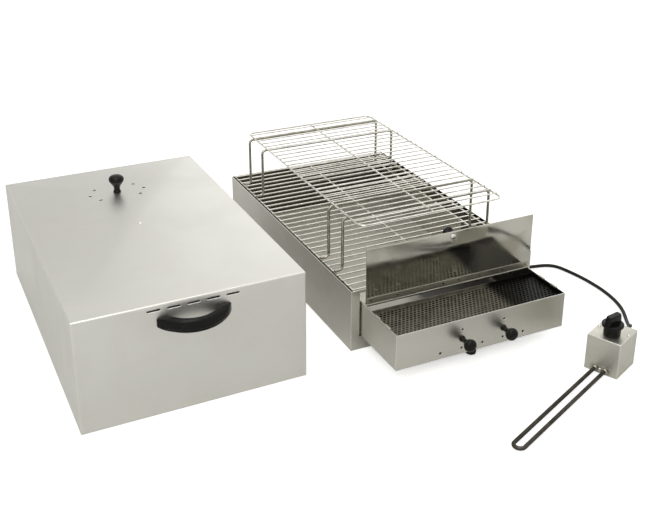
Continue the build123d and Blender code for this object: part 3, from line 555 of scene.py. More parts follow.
def stain_inside(finish, middle, half, stain, roughness, metal=1.0, fade=NO_FADE):
    """Gives a finish a place of stain, painted shade or painted light: colour, roughness and metallic share
    change inside a box, sharply or with a fade."""
    tree = finish.node_tree
    shader = [node for node in tree.nodes if node.type == "BSDF_PRINCIPLED"][0]
    inside = effect(tree, inside_of_box, Middle=middle, Half=half, Fade=fade)["Mask"]
    colour, rough = [shader.inputs[key].links[0].from_socket for key in ("Base Color", "Roughness")]
    feed(shader, {
        "Base Color": mixed(tree, inside, colour, stain),
        "Roughness": between(tree, inside, rough, roughness),
    })
    if metal < 1.0:
        metallic = shader.inputs["Metallic"]
        before = metallic.links[0].from_socket if metallic.links else metallic.default_value
        feed(shader, {"Metallic": between(tree, inside, before, metal)})


# Sizes and colours that a user would change


def length_value(label, words, value):
    """A length property in metres."""
    return bpy.props.FloatProperty(
        name=label, description=words, default=value, min=0.0, unit="LENGTH", precision=4
    )


def colour_value(label, words, value):
    """A colour property."""
    return bpy.props.FloatVectorProperty(
        name=label, description=words, default=value, subtype="COLOR", size=3, min=0.0, max=1.0
    )


def power_value(label, words, value):
    """A lamp's power in watts."""
    return bpy.props.FloatProperty(name=label, description=words, default=value, min=0.0)


class SmokerSizes(bpy.types.PropertyGroup):
    """Sizes of the visible details."""

    wire_sides: bpy.props.IntProperty(
        name="Wire sides", description="Points round each wire", default=12, min=6
    )
    grill_wire: length_value("Grill wire", "Diameter of the main grill's cross wires", 0.003)
    grill_pitch: length_value("Grill pitch", "From one cross wire to the next", 0.0198)
    grill_stringer: length_value("Stringer", "Diameter of the wires below the cross wires", 0.004)
    rack_frame: length_value("Rack frame", "Diameter of the upper rack's edge wire", 0.0034)
    rack_wire: length_value("Rack wire", "Diameter of the upper rack's cross wires", 0.0026)
    leg_wire: length_value("Leg wire", "Diameter of the bent legs", 0.0052)
    tray_pitch: length_value("Tray pitch", "From one hole of the tray to the next", 0.0074)
    tray_hole: length_value("Tray hole", "Diameter of the tray's holes", 0.0052)
    sheet: length_value("Sheet", "Thickness of the sheet metal", 0.001)
    fold: length_value("Fold", "Outer radius of the lid's folds", 0.0022)
    flap_wave: length_value("Flap wave", "How far the thin flap bends out of true", 0.0005)
    rod: length_value("Heater rod", "Diameter of the heating element", 0.0065)
    cord: length_value("Cord", "Diameter of the mains lead", 0.0066)


class SmokerFinishes(bpy.types.PropertyGroup):
    """Colours and gloss of the finishes."""

    lid_sheet: colour_value("Lid sheet", "Satin sheet of the lid", (0.74, 0.735, 0.70))
    base_sheet: colour_value("Pan sheet", "Satin sheet of the pan", (0.66, 0.65, 0.60))
    box_sheet: colour_value("Box sheet", "Satin sheet of the smoke box", (0.64, 0.63, 0.575))
    housing_sheet: colour_value("Housing sheet", "Satin sheet of the heater housing", (0.62, 0.61, 0.55))
    flap_sheet: colour_value("Flap sheet", "Polished sheet of the flap", (0.62, 0.61, 0.55))
    hinge_steel: colour_value("Hinge", "Hinge leaves", (0.50, 0.48, 0.41))
    grill_wire: colour_value("Grill wire", "Plated wire of the main grill", (0.95, 0.935, 0.88))
    rack_wire: colour_value("Rack wire", "Plated wire of the upper rack", (0.93, 0.92, 0.88))
    tray_sheet: colour_value("Tray", "Perforated tray", (0.25, 0.24, 0.196))
    screw_steel: colour_value("Screws", "Bright screws", (0.80, 0.79, 0.76))
    element: colour_value("Element", "Sheath of the heater rod", (0.085, 0.078, 0.064))
    black_plastic: colour_value("Black plastic", "Knobs and handles", (0.0045, 0.0045, 0.004))
    cord_rubber: colour_value("Cord", "Sheath of the mains lead", (0.012, 0.012, 0.010))
    pin: colour_value("Pins", "Plug pins", (0.70, 0.67, 0.60))
    block: colour_value("Inner blocks", "Moulded blocks inside the housing", (0.42, 0.36, 0.27))
    sheet_roughness: bpy.props.FloatProperty(
        name="Sheet roughness", description="Roughness of the satin sheet", default=0.36, min=0.0, max=1.0
    )


class SmokerStage(bpy.types.PropertyGroup):
    """Camera and lights."""

    place: bpy.props.FloatVectorProperty(
        name="Camera place",
        description="Where the camera stands",
        default=(-0.86183, -1.60857, 0.92467),
        unit="LENGTH",
    )
    turn: bpy.props.FloatProperty(
        name="Camera turn",
        description="From straight back towards the right",
        default=0.4419,
        unit="ROTATION",
    )
    pitch: bpy.props.FloatProperty(
        name="Camera pitch", description="Below the horizon", default=0.3689, unit="ROTATION"
    )
    lens: bpy.props.FloatProperty(
        name="Lens", description="Focal length on a 36 mm frame", default=54.37, min=10.0
    )
    shift: bpy.props.FloatVectorProperty(
        name="Lens shift",
        description="Across and up, as shares of the width",
        default=(-0.0015, -0.14),
        size=2,
    )
    key_power: power_value("Key light", "Power in watts", 28.0)
    spark_power: power_value("Spark light", "Power in watts of the small lamp that makes glints", 3.0)
    fill: bpy.props.FloatProperty(
        name="Room light", description="Strength of the pale room", default=0.68, min=0.0
    )


# Finishes by slot or by look. A colour is a property's name or a value of its own

FINISHES = {
    # Colour, roughness beside the sheet's, stretch, contrast and height of the grain, marks, eased edge in
    # millimetres, which also sets the width of the painted edge highlight, and scale of the marks
    "lid_sheet": (sheet_finish, "lid_sheet", 0.0, (60.0, 700.0, 700.0), 0.05, 0.04, 0.35, 2.4),
    "base_sheet": (sheet_finish, "base_sheet", -0.02, (700.0, 40.0, 60.0), 0.10, 0.05, 0.4, 1.4),
    "box_sheet": (sheet_finish, "box_sheet", -0.04, (30.0, 60.0, 900.0), 0.10, 0.05, 0.3, 1.4),
    # Dark sheet of the damper and vent discs, seen only through holes: painted shade
    "inner_sheet": (sheet_finish, (0.10, 0.095, 0.08), 0.09, (60.0, 60.0, 900.0), 0.20, 0.05, 0.9, 0.3, 30.0),
    "hook_sheet": (sheet_finish, "box_sheet", 0.0, (60.0, 60.0, 900.0), 0.10, 0.05, 0.5, 0.3, 30.0),
    "housing_sheet": (sheet_finish, "housing_sheet", 0.0, (90.0, 90.0, 700.0), 0.12, 0.06, 0.6, 2.0, 26.0),
    "hinge_steel": (sheet_finish, "hinge_steel", 0.0, (40.0, 900.0, 900.0), 0.16, 0.06, 0.7, 0.3, 30.0),
    # Colour, tint and cupping
    "flap_sheet": (polished_finish, "flap_sheet", (0.47, 0.45, 0.37), 0.062),
    # Colour, and colour of the soot and painted shade
    "tray_sheet": (perforated_finish, "tray_sheet", (0.012, 0.012, 0.010)),
    # Colour, roughness, stain, amount of the marks, and their scale
    "grill_wire": (plated_finish, "grill_wire", 0.25, (0.58, 0.55, 0.46), 0.45),
    "rack_wire": (plated_finish, "rack_wire", 0.14, (0.46, 0.43, 0.36), 0.55),
    "leg_wire": (plated_finish, (0.50, 0.48, 0.42), 0.20, (0.28, 0.26, 0.20), 0.6),
    "screw_steel": (plated_finish, "screw_steel", 0.12, (0.55, 0.53, 0.47), 0.4),
    "stud_steel": (plated_finish, (0.97, 0.965, 0.94), 0.24, (0.85, 0.84, 0.80), 0.2),
    "dull_steel": (plated_finish, (0.50, 0.485, 0.43), 0.30, (0.30, 0.28, 0.23), 0.7),
    "rivet": (plated_finish, (0.09, 0.085, 0.07), 0.34, (0.03, 0.03, 0.025), 0.6),
    "element_steel": (plated_finish, "element", 0.42, (0.04, 0.036, 0.029), 0.8, 30.0),
    "pin_brass": (plated_finish, "pin", 0.18, (0.48, 0.42, 0.30), 0.5),
    # Colour, roughness, height and scale of the pebbling, and gloss
    "black_knob": (moulded_finish, "black_plastic", 0.12, 0.03, 500.0, 0.17),
    "handle_black": (moulded_finish, "black_plastic", 0.20, 0.05, 700.0, 0.15),
    "foot_rubber": (moulded_finish, (0.016, 0.016, 0.014), 0.55, 0.25, 1200.0),
    "cord_black": (moulded_finish, "cord_rubber", 0.42, 0.15, 1500.0),
    "plug_black": (moulded_finish, (0.014, 0.014, 0.013), 0.40, 0.20, 1300.0),
    "inner_plastic": (moulded_finish, "block", 0.5, 0.2, 800.0),
}

VENT_MIDDLE = node_box("vent_knob")[2] / 1000
# Dark colour of the painted shade inside the pan
PAN_SHADE = (0.10, 0.095, 0.08)

# Stained places, and places of painted shade and painted light, of the sheets in metres: middle, half sizes,
# colour, roughness, metallic share, fade
STAINS_AND_PAINTED_LIGHT = {
    # Painted shade on the thickness of the lid's top, as seen in its vent holes
    "lid_sheet": [((*VENT_MIDDLE[:2], 0.1938), (0.034, 0.034, 0.00045), (0.03, 0.028, 0.024), 0.5)],
    # Inside of the pan: painted shade on its rim, back wall and front, then its pale floor, and painted shade
    # on the floor's right front by the box mouth
    "base_sheet": [
        ((0.0, 0.0, 0.0995), (0.18680, 0.29280, 0.0168), PAN_SHADE, 0.22),
        ((0.0, 0.2864, 0.061), (0.18680, 0.0064, 0.0553), PAN_SHADE, 0.22),
        ((0.0, -0.1762, 0.061), (0.18680, 0.1162, 0.0553), PAN_SHADE, 0.22),
        ((0.0, 0.0, 0.0), (0.18665, 0.29280, 0.0013), (0.60, 0.585, 0.515), 0.42, 0.25),
        (
            (0.110, -0.190, 0.0), (0.130, 0.155, 0.0013),
            (0.045, 0.043, 0.036), 0.42, 0.25, (0.05, 0.06, 0.0001),
        ),
    ],
    # Painted shade inside the smoke box
    "box_sheet": [((0.0, -0.3435, 0.0613), (0.16830, 0.0753, 0.0325), (0.055, 0.052, 0.042), 0.30)],
    # Painted reflection on the right of the flap: a pale film, partly not metal, for the lighter reflection
    # there
    "flap_sheet": [
        ((0.095, -0.300, 0.132), (0.070, 0.200, 0.044), (0.42, 0.40, 0.33), 0.15, 0.86, (0.04, 0.0001, 0.02)),
    ],
}


def finish_for(key):
    """The finish of a slot or a look, made at its first use."""
    name = "smoker_" + key
    if name in bpy.data.materials:
        return bpy.data.materials[name]
    maker, colour, *others = FINISHES[key]
    if isinstance(colour, str):
        colour = getattr(bpy.context.scene.smoker_finishes, colour)
    finish = maker(name, colour, *others)
    # Stains, painted shade and painted light, each inside a box
    for stain in STAINS_AND_PAINTED_LIGHT.get(key, ()):
        stain_inside(finish, *stain)
    return finish


# The pan with its grill and rack

STRINGERS = (-179.0, 0.0, 149.0, 179.0)
WELD = 0.15
RACK_WIRES = 26
RACK_CORNER = 13.0
LEG_FOOT = 16.0
LEG_BEND = 8.0


def grill_shape(s):
    """Cross wires along X side by side at one pitch, on four stringers along Y, a weld's depth into
    them: straight wires, copied by arrays of offsets."""
    low, high, _ = node_box("main_grill")
    cross = s.grill_wire * 1000
    below = s.grill_stringer * 1000
    level = high[2] - cross / 2
    span = high[1] - low[1] - cross
    count = int(round(span / (s.grill_pitch * 1000))) + 1
    first = low[1] + cross / 2
    one = wire([[low[0], first, level], [high[0], first, level]], cross / 2, BACK, s.wire_sides)
    crossing = repeated(one, np.outer(np.arange(count) * span / (count - 1), BACK))
    under = level - cross / 2 - below / 2 + WELD
    along = wire([[0, low[1], under], [0, high[1], under]], below / 2, RIGHT, s.wire_sides)
    return joined(crossing, repeated(along, np.outer(STRINGERS, RIGHT)))


def rack_shape(s):
    """The rack's edge wire, a rounded loop; its middle wire; and its cross wires, whose ends rest
    on the edge wire, as copies at one pitch."""
    low, high, middle = node_box("rack_grid")
    thick = s.rack_frame * 1000
    thin = s.rack_wire * 1000
    level = low[2] + thick / 2
    width, length, _ = high - low - thick
    loop = frame_loop(width, length, RACK_CORNER, level, 8) + middle * (1, 1, 0)
    edge = wire(loop, thick / 2, UP, s.wire_sides, True)
    ends = [[middle[0], middle[1] + half, level] for half in (-length / 2, length / 2)]
    centre = wire(ends, thick / 2, UP, s.wire_sides)
    top = high[2] - thin / 2
    reach = width / 2 + 1
    one = wire([[middle[0] - reach, 0, top], [middle[0] + reach, 0, top]], thin / 2, BACK, s.wire_sides)
    steps = (np.arange(RACK_WIRES) - (RACK_WIRES - 1) / 2) * length / (RACK_WIRES + 1)
    return joined(edge, centre, repeated(one, np.outer(middle[1] + steps, BACK)))


def leg_shape(name, s):
    """One bent wire: foot, leg, bar, leg, foot, with rounded bends, in one upright plane."""
    low, high, middle = node_box(name)
    radius = s.leg_wire * 500
    bottom = low[2] + radius
    top = high[2] - radius
    left = low[0] + LEG_FOOT
    right = high[0] - LEG_FOOT
    line = [(low[0], bottom), (left, bottom), (left, top), (right, top), (right, bottom), (high[0], bottom)]
    corners = [[x, middle[1], z] for x, z in line]
    return wire(rounded_path(corners, LEG_BEND, 8), radius, BACK, s.wire_sides + 2)


class SMOKER_OT_pan(bpy.types.Operator):
    """Gives the pan, its front panel, ledges and runners their satin sheet"""

    bl_idname = "smoker.pan"
    bl_label = "Pan"

    def execute(self, context):
        dress("base_sheet", "base_pan", "base_front")
        dress("base_sheet", "ledge_left", "ledge_right", "runner_left", "runner_right")
        return {"FINISHED"}


class SMOKER_OT_grill(bpy.types.Operator):
    """Makes the main grill from round wires"""

    bl_idname = "smoker.grill"
    bl_label = "Main grill"

    def execute(self, context):
        shape = grill_shape(context.scene.smoker_sizes)
        make_piece("grill_wires", shape, "main_grill", "grill_wire", ["main_grill"])
        return {"FINISHED"}


class SMOKER_OT_rack(bpy.types.Operator):
    """Makes the upper rack and its four bent legs"""

    bl_idname = "smoker.rack"
    bl_label = "Upper rack"

    def execute(self, context):
        s = context.scene.smoker_sizes
        make_piece("rack_wires", rack_shape(s), "upper_rack", "rack_wire", ["rack_grid"])
        for mark in "1234":
            node = "rack_leg_" + mark
            leg = leg_shape(node, s)
            make_piece("bent_leg_" + mark, leg, "upper_rack", "rack_wire", [node], look="leg_wire")
        return {"FINISHED"}


# The smoke box with its dampers, flap and tray

PAN_FRONT = -293.5
RIVET_PLACES = (-161.0, -109.0, -60.0, -16.0, 16.0, 60.0, 109.0, 161.0)
RIVET_LEVEL = 104.6
TRAY_SIDE = 167.4
TRAY_FRONT = PAN_FRONT - 124.0
TRAY_BACK = PAN_FRONT - 34.0
TRAY_TOP = 86.5
TRAY_RIM = 6.0
LUG_PLACES = (59.0, 95.0)
LUG_WIDTH = 16.0

# Least plain margins of the tray, both sides together and both ends together
SIDE_MARGINS = 7.0
END_MARGINS = 9.0

# Side of a knob, as shares of its size: collar, neck, a cone that widens, and a round head
KNOB_SIDE = (
    (0.03, 0.0), (0.53, 0.0), (0.53, 0.05), (0.41, 0.11), (0.40, 0.27), (0.54, 0.40),
    (0.82, 0.56), (1.02, 0.70), (1.04, 0.80), (0.90, 0.93), (0.50, 1.0), (0.03, 1.0),
)
KNOB_ROOM = 1.005


def knob_shape(node, axis, across=0, sides=56):
    """A knob in a node's box, which it fills less a little room: the knob's side as a soft line, its
    widest place made the radius, turned about a direction from the face where that direction starts."""
    low, high, _ = node_box(node)
    radius = (high[across] - low[across]) / 2 / KNOB_ROOM
    line = softened(KNOB_SIDE, 3)
    line = line * (radius / line[:, 0].max(), abs((high - low) @ axis))
    return turned(line, face_middle(low, high, axis), axis, sides)


def dome_outline(radius, height):
    """Side of a low domed head: a short upright edge, then a quarter ellipse."""
    angle = np.linspace(0, np.pi / 2 - 0.06, 8)
    curve = np.column_stack([radius * np.cos(angle), height * (0.22 + 0.78 * np.sin(angle))])
    return np.concatenate([[[radius * 0.94, 0.0], [radius, height * 0.1]], curve])


class SMOKER_OT_box(bpy.types.Operator):
    """Finishes the smoke box: its sheets, hinge, rubber foot and foot screw"""

    bl_idname = "smoker.box"
    bl_label = "Smoke box"

    def execute(self, context):
        dress("box_sheet", "box_shell", "box_panel", "box_roof")
        dress("hinge_steel", "hinge_fixed")
        dress("screw_steel", "hinge_pin", "foot_screw")
        low, high, _ = node_box("box_foot")
        radius = (high[0] - low[0]) / 2
        tall = high[2] - low[2]
        outline = softened([
            (4.6, 5.0), (4.6, 0.6), (5.4, 0.0), (radius * 0.80, 0.0), (radius * 0.90, 1.2),
            (radius, tall * 0.55), (radius, tall - 1.0), (radius - 0.8, tall), (2.4, tall),
        ])
        foot = turned(outline, face_middle(low, high, UP), UP, 40)
        make_piece("rubber_foot", foot, "smoke_box", "foot_rubber", ["box_foot"])
        return {"FINISHED"}


class SMOKER_OT_dampers(bpy.types.Operator):
    """Makes the two damper knobs and finishes their discs"""

    bl_idname = "smoker.dampers"
    bl_label = "Dampers"

    def execute(self, context):
        for side in ("left", "right"):
            node = "damper_knob_" + side
            knob = knob_shape(node, FRONT, 2)
            make_piece("air_knob_" + side, knob, "damper_" + side, "black_knob", [node])
            # Dark damper disc behind the air holes: painted shade
            dress("inner_sheet", "damper_disc_" + side)
        return {"FINISHED"}


def flap_shape(low, high, wave, seam):
    """The thin flap: a grid over width and height, once for each face. Depth = the face's own + wave *
    sqrt(h) * (0.55 sin(pi h) sin(3.1 pi w + 0.4) + 0.85 h^1.5 cos(1.7 pi w - 0.5)) for shares w of the
    width and h of the height, with the free edge folded back."""
    across = np.linspace(low[0], high[0], 69)
    up = np.concatenate([np.linspace(low[2], high[2] - 3.2, 26), high[2] - np.array([1.4, 0.5, 0.0])])
    share = ((up - low[2]) / (high[2] - low[2]))[:, None]
    along = ((across - low[0]) / (high[0] - low[0]))[None, :]
    bend = wave * share**0.5 * (
        0.55 * np.sin(np.pi * share) * np.sin(3.1 * np.pi * along + 0.4)
        + 0.85 * share**1.5 * np.cos(1.7 * np.pi * along - 0.5)
    )
    front = np.full(len(up), low[1])
    front[-3:] += (0.0, 0.12, 0.5)
    back = np.full(len(up), low[1] + seam)
    back[-3:] += (0.75, 0.6, 0.0)
    x, z = np.meshgrid(across, up, indexing="xy")
    face = np.stack([x, front[:, None] + bend, z], axis=2)
    other = np.stack([x, back[:, None] + bend, z], axis=2)
    return skin(np.concatenate([face, other[:, ::-1]], axis=1))


class SMOKER_OT_flap(bpy.types.Operator):
    """Makes the polished flap with its knob, screw and riveted hinge leaf"""

    bl_idname = "smoker.flap"
    bl_label = "Flap"

    def execute(self, context):
        s = context.scene.smoker_sizes
        low, high, _ = node_box("flap_panel")
        shape = flap_shape(low, high, s.flap_wave * 1000, s.sheet * 1000)
        make_piece("flap_sheet", shape, "flap", "flap_sheet", ["flap_panel"], 40)
        dress("hinge_steel", "flap_leaf")
        leaf_front = node_box("flap_leaf")[0][1]
        rivet = turned(dome_outline(2.2, 0.95), [0, leaf_front + 0.72, RIVET_LEVEL], FRONT, 16)
        rivets = repeated(rivet, np.outer(RIVET_PLACES, RIGHT))
        make_piece("flap_rivets", rivets, "flap", "hinge_steel", look="rivet")
        make_piece("flap_grip", knob_shape("flap_knob", BACK), "flap", "black_knob", ["flap_knob"])
        middle = node_box("flap_knob")[2]
        centre = [middle[0], low[1], middle[2]]
        head = turned(dome_outline(5.0, 2.4), centre, FRONT, 40)
        shank = turned([(2.0, 0.0), (2.0, 10.0)], centre, BACK, 20)
        make_piece("flap_dome_screw", joined(head, shank), "flap", "screw_steel", ["flap_screw"])
        return {"FINISHED"}


def perforated_floor(columns, rows, pitch, hole, top, thickness, origin):
    """A perforated sheet of six-sided cells in staggered rows, pitch * cos 30 apart. Each cell is
    four rings of twelve points: cell edge and hole edge above, hole edge and cell edge below. The
    cell edge is apothem / cos(angle to the nearest side's middle)."""
    angle = np.arange(12) * np.pi / 6
    outward = np.stack([np.cos(angle), np.sin(angle)], axis=1)
    from_side = np.abs((angle + np.pi / 6) % (np.pi / 3) - np.pi / 6)
    cell = outward * (pitch / 2 / np.cos(from_side))[:, None]
    gap = outward * hole / 2
    levels = [(cell, top), (gap, top), (gap, top - thickness), (cell, top - thickness)]
    rings = np.array([np.column_stack([flat, np.full(12, level)]) for flat, level in levels])
    one = rings.reshape(-1, 3), grid_faces(4, 12, False, True)
    row, column = np.meshgrid(np.arange(rows), np.arange(columns), indexing="ij")
    shift = (row % 2) * pitch / 2
    across = column * pitch + shift
    offsets = np.stack([across, row * pitch * np.cos(np.pi / 6), np.zeros_like(shift)], axis=2)
    kept = (row % 2 == 0) | (column < columns - 1)
    return repeated(one, offsets[kept] + np.asarray(origin, float))


def tray_shape(s):
    """The tray: its perforated floor in the middle, small plates that fill the short rows' ends, a
    plain margin laid a little lower on all four sides, and four upstands."""
    pitch = s.tray_pitch * 1000
    thick = s.sheet * 1000
    row_pitch = pitch * np.cos(np.pi / 6)
    columns = int((2 * TRAY_SIDE - SIDE_MARGINS) / pitch)
    rows = int((TRAY_BACK - TRAY_FRONT - END_MARGINS) / row_pitch) + 1
    middle = (TRAY_FRONT + TRAY_BACK) / 2
    wide = columns * pitch
    deep = (rows - 1) * row_pitch
    start = [-(wide - pitch) / 2, middle - deep / 2, 0]
    floor = perforated_floor(columns, rows, pitch, s.tray_hole * 1000, TRAY_TOP, thick, start)
    edge_x = wide / 2 - 1.2
    edge_y = deep / 2 + 2.4
    half_row = (wide - pitch / 2) / 2
    filler = pitch / 4 + 0.3

    def lowered(drop):
        """The sheet's two levels, a drop below the floor's."""
        return TRAY_TOP - thick - drop, TRAY_TOP - drop

    fills = [
        plate((side * half_row - filler, side * half_row + filler), (-3.9, 3.9), lowered(0.05), 0.1)
        for side in (-1, 1)
    ]
    sides = (-TRAY_SIDE, TRAY_SIDE)
    ends = (TRAY_FRONT, TRAY_BACK)
    upright = (TRAY_TOP - thick, TRAY_TOP + TRAY_RIM)
    return joined(
        floor,
        repeated(joined(*fills), [[0, start[1] + row * row_pitch, 0] for row in range(1, rows, 2)]),
        plate((-TRAY_SIDE, -edge_x), ends, lowered(0.04), 0.1),
        plate((edge_x, TRAY_SIDE), ends, lowered(0.04), 0.1),
        plate((-edge_x, edge_x), (TRAY_FRONT, middle - edge_y), lowered(0.06), 0.1),
        plate((-edge_x, edge_x), (middle + edge_y, TRAY_BACK), lowered(0.06), 0.1),
        plate(sides, (TRAY_FRONT, TRAY_FRONT + thick), upright, 0.3),
        plate(sides, (TRAY_BACK - thick, TRAY_BACK), upright, 0.3),
        plate((-TRAY_SIDE, -TRAY_SIDE + thick), ends, upright, 0.3),
        plate((TRAY_SIDE - thick, TRAY_SIDE), ends, upright, 0.3),
    )


def lugs_shape(thick):
    """The tray's four lugs, each of three plates: up from the rim, out over the box's side wall, and
    down outside it."""
    _, high, _ = node_box("chip_tray")
    lugs = []
    for side in (-1, 1):
        inner = (side * TRAY_SIDE, side * (TRAY_SIDE - thick))
        roof = (side * (TRAY_SIDE - thick), side * high[0])
        outer = (side * high[0], side * (high[0] - thick))
        for place in LUG_PLACES:
            near = PAN_FRONT - place - LUG_WIDTH / 2
            length = (near, near + LUG_WIDTH)
            lugs.append(plate(inner, length, (TRAY_TOP, high[2] - 0.3), 0.3))
            lugs.append(plate(roof, length, (high[2] - thick, high[2]), 0.3))
            lugs.append(plate(outer, length, (high[2] - 6.0, high[2] - 0.2), 0.3))
    return joined(*lugs)


class SMOKER_OT_tray(bpy.types.Operator):
    """Makes the chip tray: perforated floor, plain margin, upstands and hanging lugs"""

    bl_idname = "smoker.tray"
    bl_label = "Chip tray"

    def execute(self, context):
        s = context.scene.smoker_sizes
        lugs = lugs_shape(s.sheet * 1000)
        make_piece("tray_lugs", lugs, "chip_tray", "tray_sheet", smooth=30, look="hook_sheet")
        make_piece("perforated_tray", tray_shape(s), "chip_tray", "tray_sheet", ["chip_tray"], 30)
        return {"FINISHED"}


# The lid

LID_PLACE = (-479.1, -33.5, 0.0)
LID_TURN = 0.34
LID_WIDTH = 379.0
LID_LENGTH = 591.0
LID_VENT = 164.5
STUD_PLACE = 4.5
VENT_HOLES = ((38.2, 26.2), (52.3, 0.0), (38.2, -26.2), (-38.2, 26.2), (-52.3, 0.0), (-38.2, -26.2))
VENT_RADIUS = 3.4
SLOT_LENGTH = 21.5
SLOT_HEIGHT = 3.2
SLOT_PITCH = 32.0
SLOT_DROP = 9.3
HANDLE_DROP = 31.3
HANDLE_LENGTH = 60.3
HANDLE_HEIGHT = 11.5
HANDLE_OPENING = 39.0
GROOVE_DEPTH = 0.8

# Centre and radius of the bow's two arcs
OUTER_ARC = (-29.16, 67.16)
INNER_ARC = (-19.69, 43.69)


def on_lid(shape):
    """A shape drawn on the lid's own axes, put where the lid stands."""
    return placed(shape, LID_PLACE, LID_TURN)


def slot_tool(middle):
    """A tool for one slot: two half circles joined by straight sides, drawn in X and Z and running
    through the wall along Y."""
    angle = np.linspace(-np.pi / 2, np.pi / 2, 7)
    end = SLOT_HEIGHT / 2
    right = np.column_stack([SLOT_LENGTH / 2 - end + end * np.cos(angle), end * np.sin(angle)])
    flat = np.concatenate([right, -right])
    points, faces = skin([np.insert(flat, 1, depth, axis=1) for depth in (4.0, -4.0)])
    return points + np.asarray(middle, float), faces


def arc_reach(arc, station):
    """How far an arc about a centre reaches at a station: centre + sqrt(radius^2 - station^2)."""
    centre, radius = arc
    return centre + np.sqrt(np.maximum(radius**2 - station**2, 0))


def handle_shape():
    """A bow handle lying in a level plane. For each station x the bow fills from the inner arc to the
    outer arc, and its section is a rounded rectangle: a superellipse |a|^3 + |b|^3 = 1, with shallow
    grooves running along the outer side. Its height falls towards the ends."""
    sides = 64
    station = HANDLE_LENGTH * np.sin(np.linspace(-np.pi / 2, np.pi / 2, 61))
    outer = arc_reach(OUTER_ARC, station)
    inner = np.where(np.abs(station) < HANDLE_OPENING, np.maximum(arc_reach(INNER_ARC, station), 0), 0)
    angle = np.arange(sides) * 2 * np.pi / sides
    a, b = [np.sign(part) * np.abs(part) ** (2 / 3) for part in (np.cos(angle), np.sin(angle))]
    middle = (outer + inner) / 2
    half = np.maximum((outer - inner) / 2, 0.15)
    swell = np.sqrt(np.maximum(1 - (station / 60.9) ** 4, 0))
    tall = HANDLE_HEIGHT * np.minimum(1.0, 0.45 + 0.55 * swell)
    level = b[None, :] * tall[:, None]
    outside = np.clip((a - 0.3) / 0.3, 0, 1)[None, :]
    off_ends = np.clip((54 - np.abs(station)) / 6, 0, 1)[:, None]
    wave = 0.5 + 0.5 * np.cos(level / HANDLE_HEIGHT * 4 * np.pi)
    depth = middle[:, None] + a[None, :] * half[:, None] - GROOVE_DEPTH * wave * outside * off_ends
    x = np.repeat(station[:, None], sides, axis=1)
    return skin(np.stack([x, depth, level], axis=2))


def hem_shape(thick):
    """The folded-in hem inside the lid's lower edge: outside up, then inside down, between two rounded
    rectangles."""
    width = LID_WIDTH - 2 * thick
    length = LID_LENGTH - 2 * thick
    hem = 0.9
    height = 9.0
    rings = [
        frame_loop(width, length, 0.6, 0.3),
        frame_loop(width, length, 0.6, height),
        frame_loop(width - 2 * hem, length - 2 * hem, 0.4, height - 0.3),
        frame_loop(width - 2 * hem, length - 2 * hem, 0.4, 0.6),
    ]
    return skin(rings, True)


def cut_openings(piece, tools):
    """Takes tool shapes out of a piece: an exact boolean whose result becomes the piece's mesh."""
    points, faces = tools
    mesh = bpy.data.meshes.new("cutting_tools")
    mesh.from_pydata((points / 1000.0).tolist(), [], faces)
    tool = bpy.data.objects.new("cutting_tools", mesh)
    bpy.context.scene.collection.objects.link(tool)
    cut = piece.modifiers.new("openings", "BOOLEAN")
    cut.operation = "DIFFERENCE"
    cut.solver = "EXACT"
    cut.object = tool
    ready = piece.evaluated_get(bpy.context.evaluated_depsgraph_get())
    result = bpy.data.meshes.new_from_object(ready)
    piece.modifiers.clear()
    piece.data = result
    bpy.data.objects.remove(tool)
    bpy.data.meshes.remove(mesh)


class SMOKER_OT_lid(bpy.types.Operator):
    """Makes the lid with its slots and vent holes, its handles, screws and stud"""

    bl_idname = "smoker.lid"
    bl_label = "Lid"

    def execute(self, context):
        s = context.scene.smoker_sizes
        thick = s.sheet * 1000
        tall = node_box("lid_shell")[1][2]
        half = LID_LENGTH / 2
        cover = folded_cover(LID_WIDTH, LID_LENGTH, tall, thick, s.fold * 1000)
        shell = make_piece("lid_cover", on_lid(cover), "lid", "lid_sheet", ["lid_shell"], 30)
        tools = [slot_tool([step * SLOT_PITCH, -half + 0.5, tall - SLOT_DROP]) for step in range(-2, 3)]
        drill = [(VENT_RADIUS, -5.0), (VENT_RADIUS, 5.0)]
        tools += [turned(drill, [x, LID_VENT + y, tall], UP, 20) for x, y in VENT_HOLES]
        cut_openings(shell, on_lid(joined(*tools)))
        make_piece("lid_hem", on_lid(hem_shape(thick)), "lid", "lid_sheet")
        dress("lid_sheet", "lid_stop")
        # Dark disc under the vent holes: painted shade
        dress("inner_sheet", "vent_disc")
        bow = handle_shape()
        for end, side, turn in (("front", -half, 180.0), ("back", half, 0.0)):
            handle = on_lid(placed(bow, (0, side, tall - HANDLE_DROP), turn))
            make_piece("bow_handle_" + end, handle, "lid", "handle_black", ["handle_" + end], 50)
            dress("screw_steel", *["handle_screw_" + end + "_" + hand for hand in ("left", "right")])
        place = [0, STUD_PLACE, tall]
        stud = turned(dome_outline(3.0, 1.6), place, UP, 24)
        below = turned([(2.0, -3.0), (2.0, 0.4)], place, UP, 16)
        stud = on_lid(joined(stud, below))
        make_piece("lid_dome_stud", stud, "lid", "screw_steel", ["lid_stud"], look="stud_steel")
        make_piece("vent_grip", knob_shape("vent_knob", UP, 0, 64), "lid_vent", "black_knob", ["vent_knob"])
        return {"FINISHED"}


# The heater unit with its lead

HOUSING_PLACE = (191.7, -521.4, 0.0)
HOUSING_TURN = 24.1

# Width, length and height of the cover, then places on the housing's own axes
HOUSING = (66.0, 60.0, 65.2)
HOUSING_FOLD = 1.4
SCREW_PLACE = (5.0, 26.0)
ROD_LEVEL = 7.5
ROD_MIDDLE = 1.0
ROD_BEND = 9.0
ROD_TIP = -311.5
FLANGE_SHEET = 1.5
GLAND_PLACE = (1.5, 41.0)
GLAND_LENGTH = 6.0
SELECTOR = (-8.0, -2.0)
SELECTOR_GAP = 0.3
SELECTOR_TURN = -14.0


def in_housing(shape):
    """A shape drawn on the housing's own axes, put where the housing stands."""
    return placed(shape, HOUSING_PLACE, HOUSING_TURN)


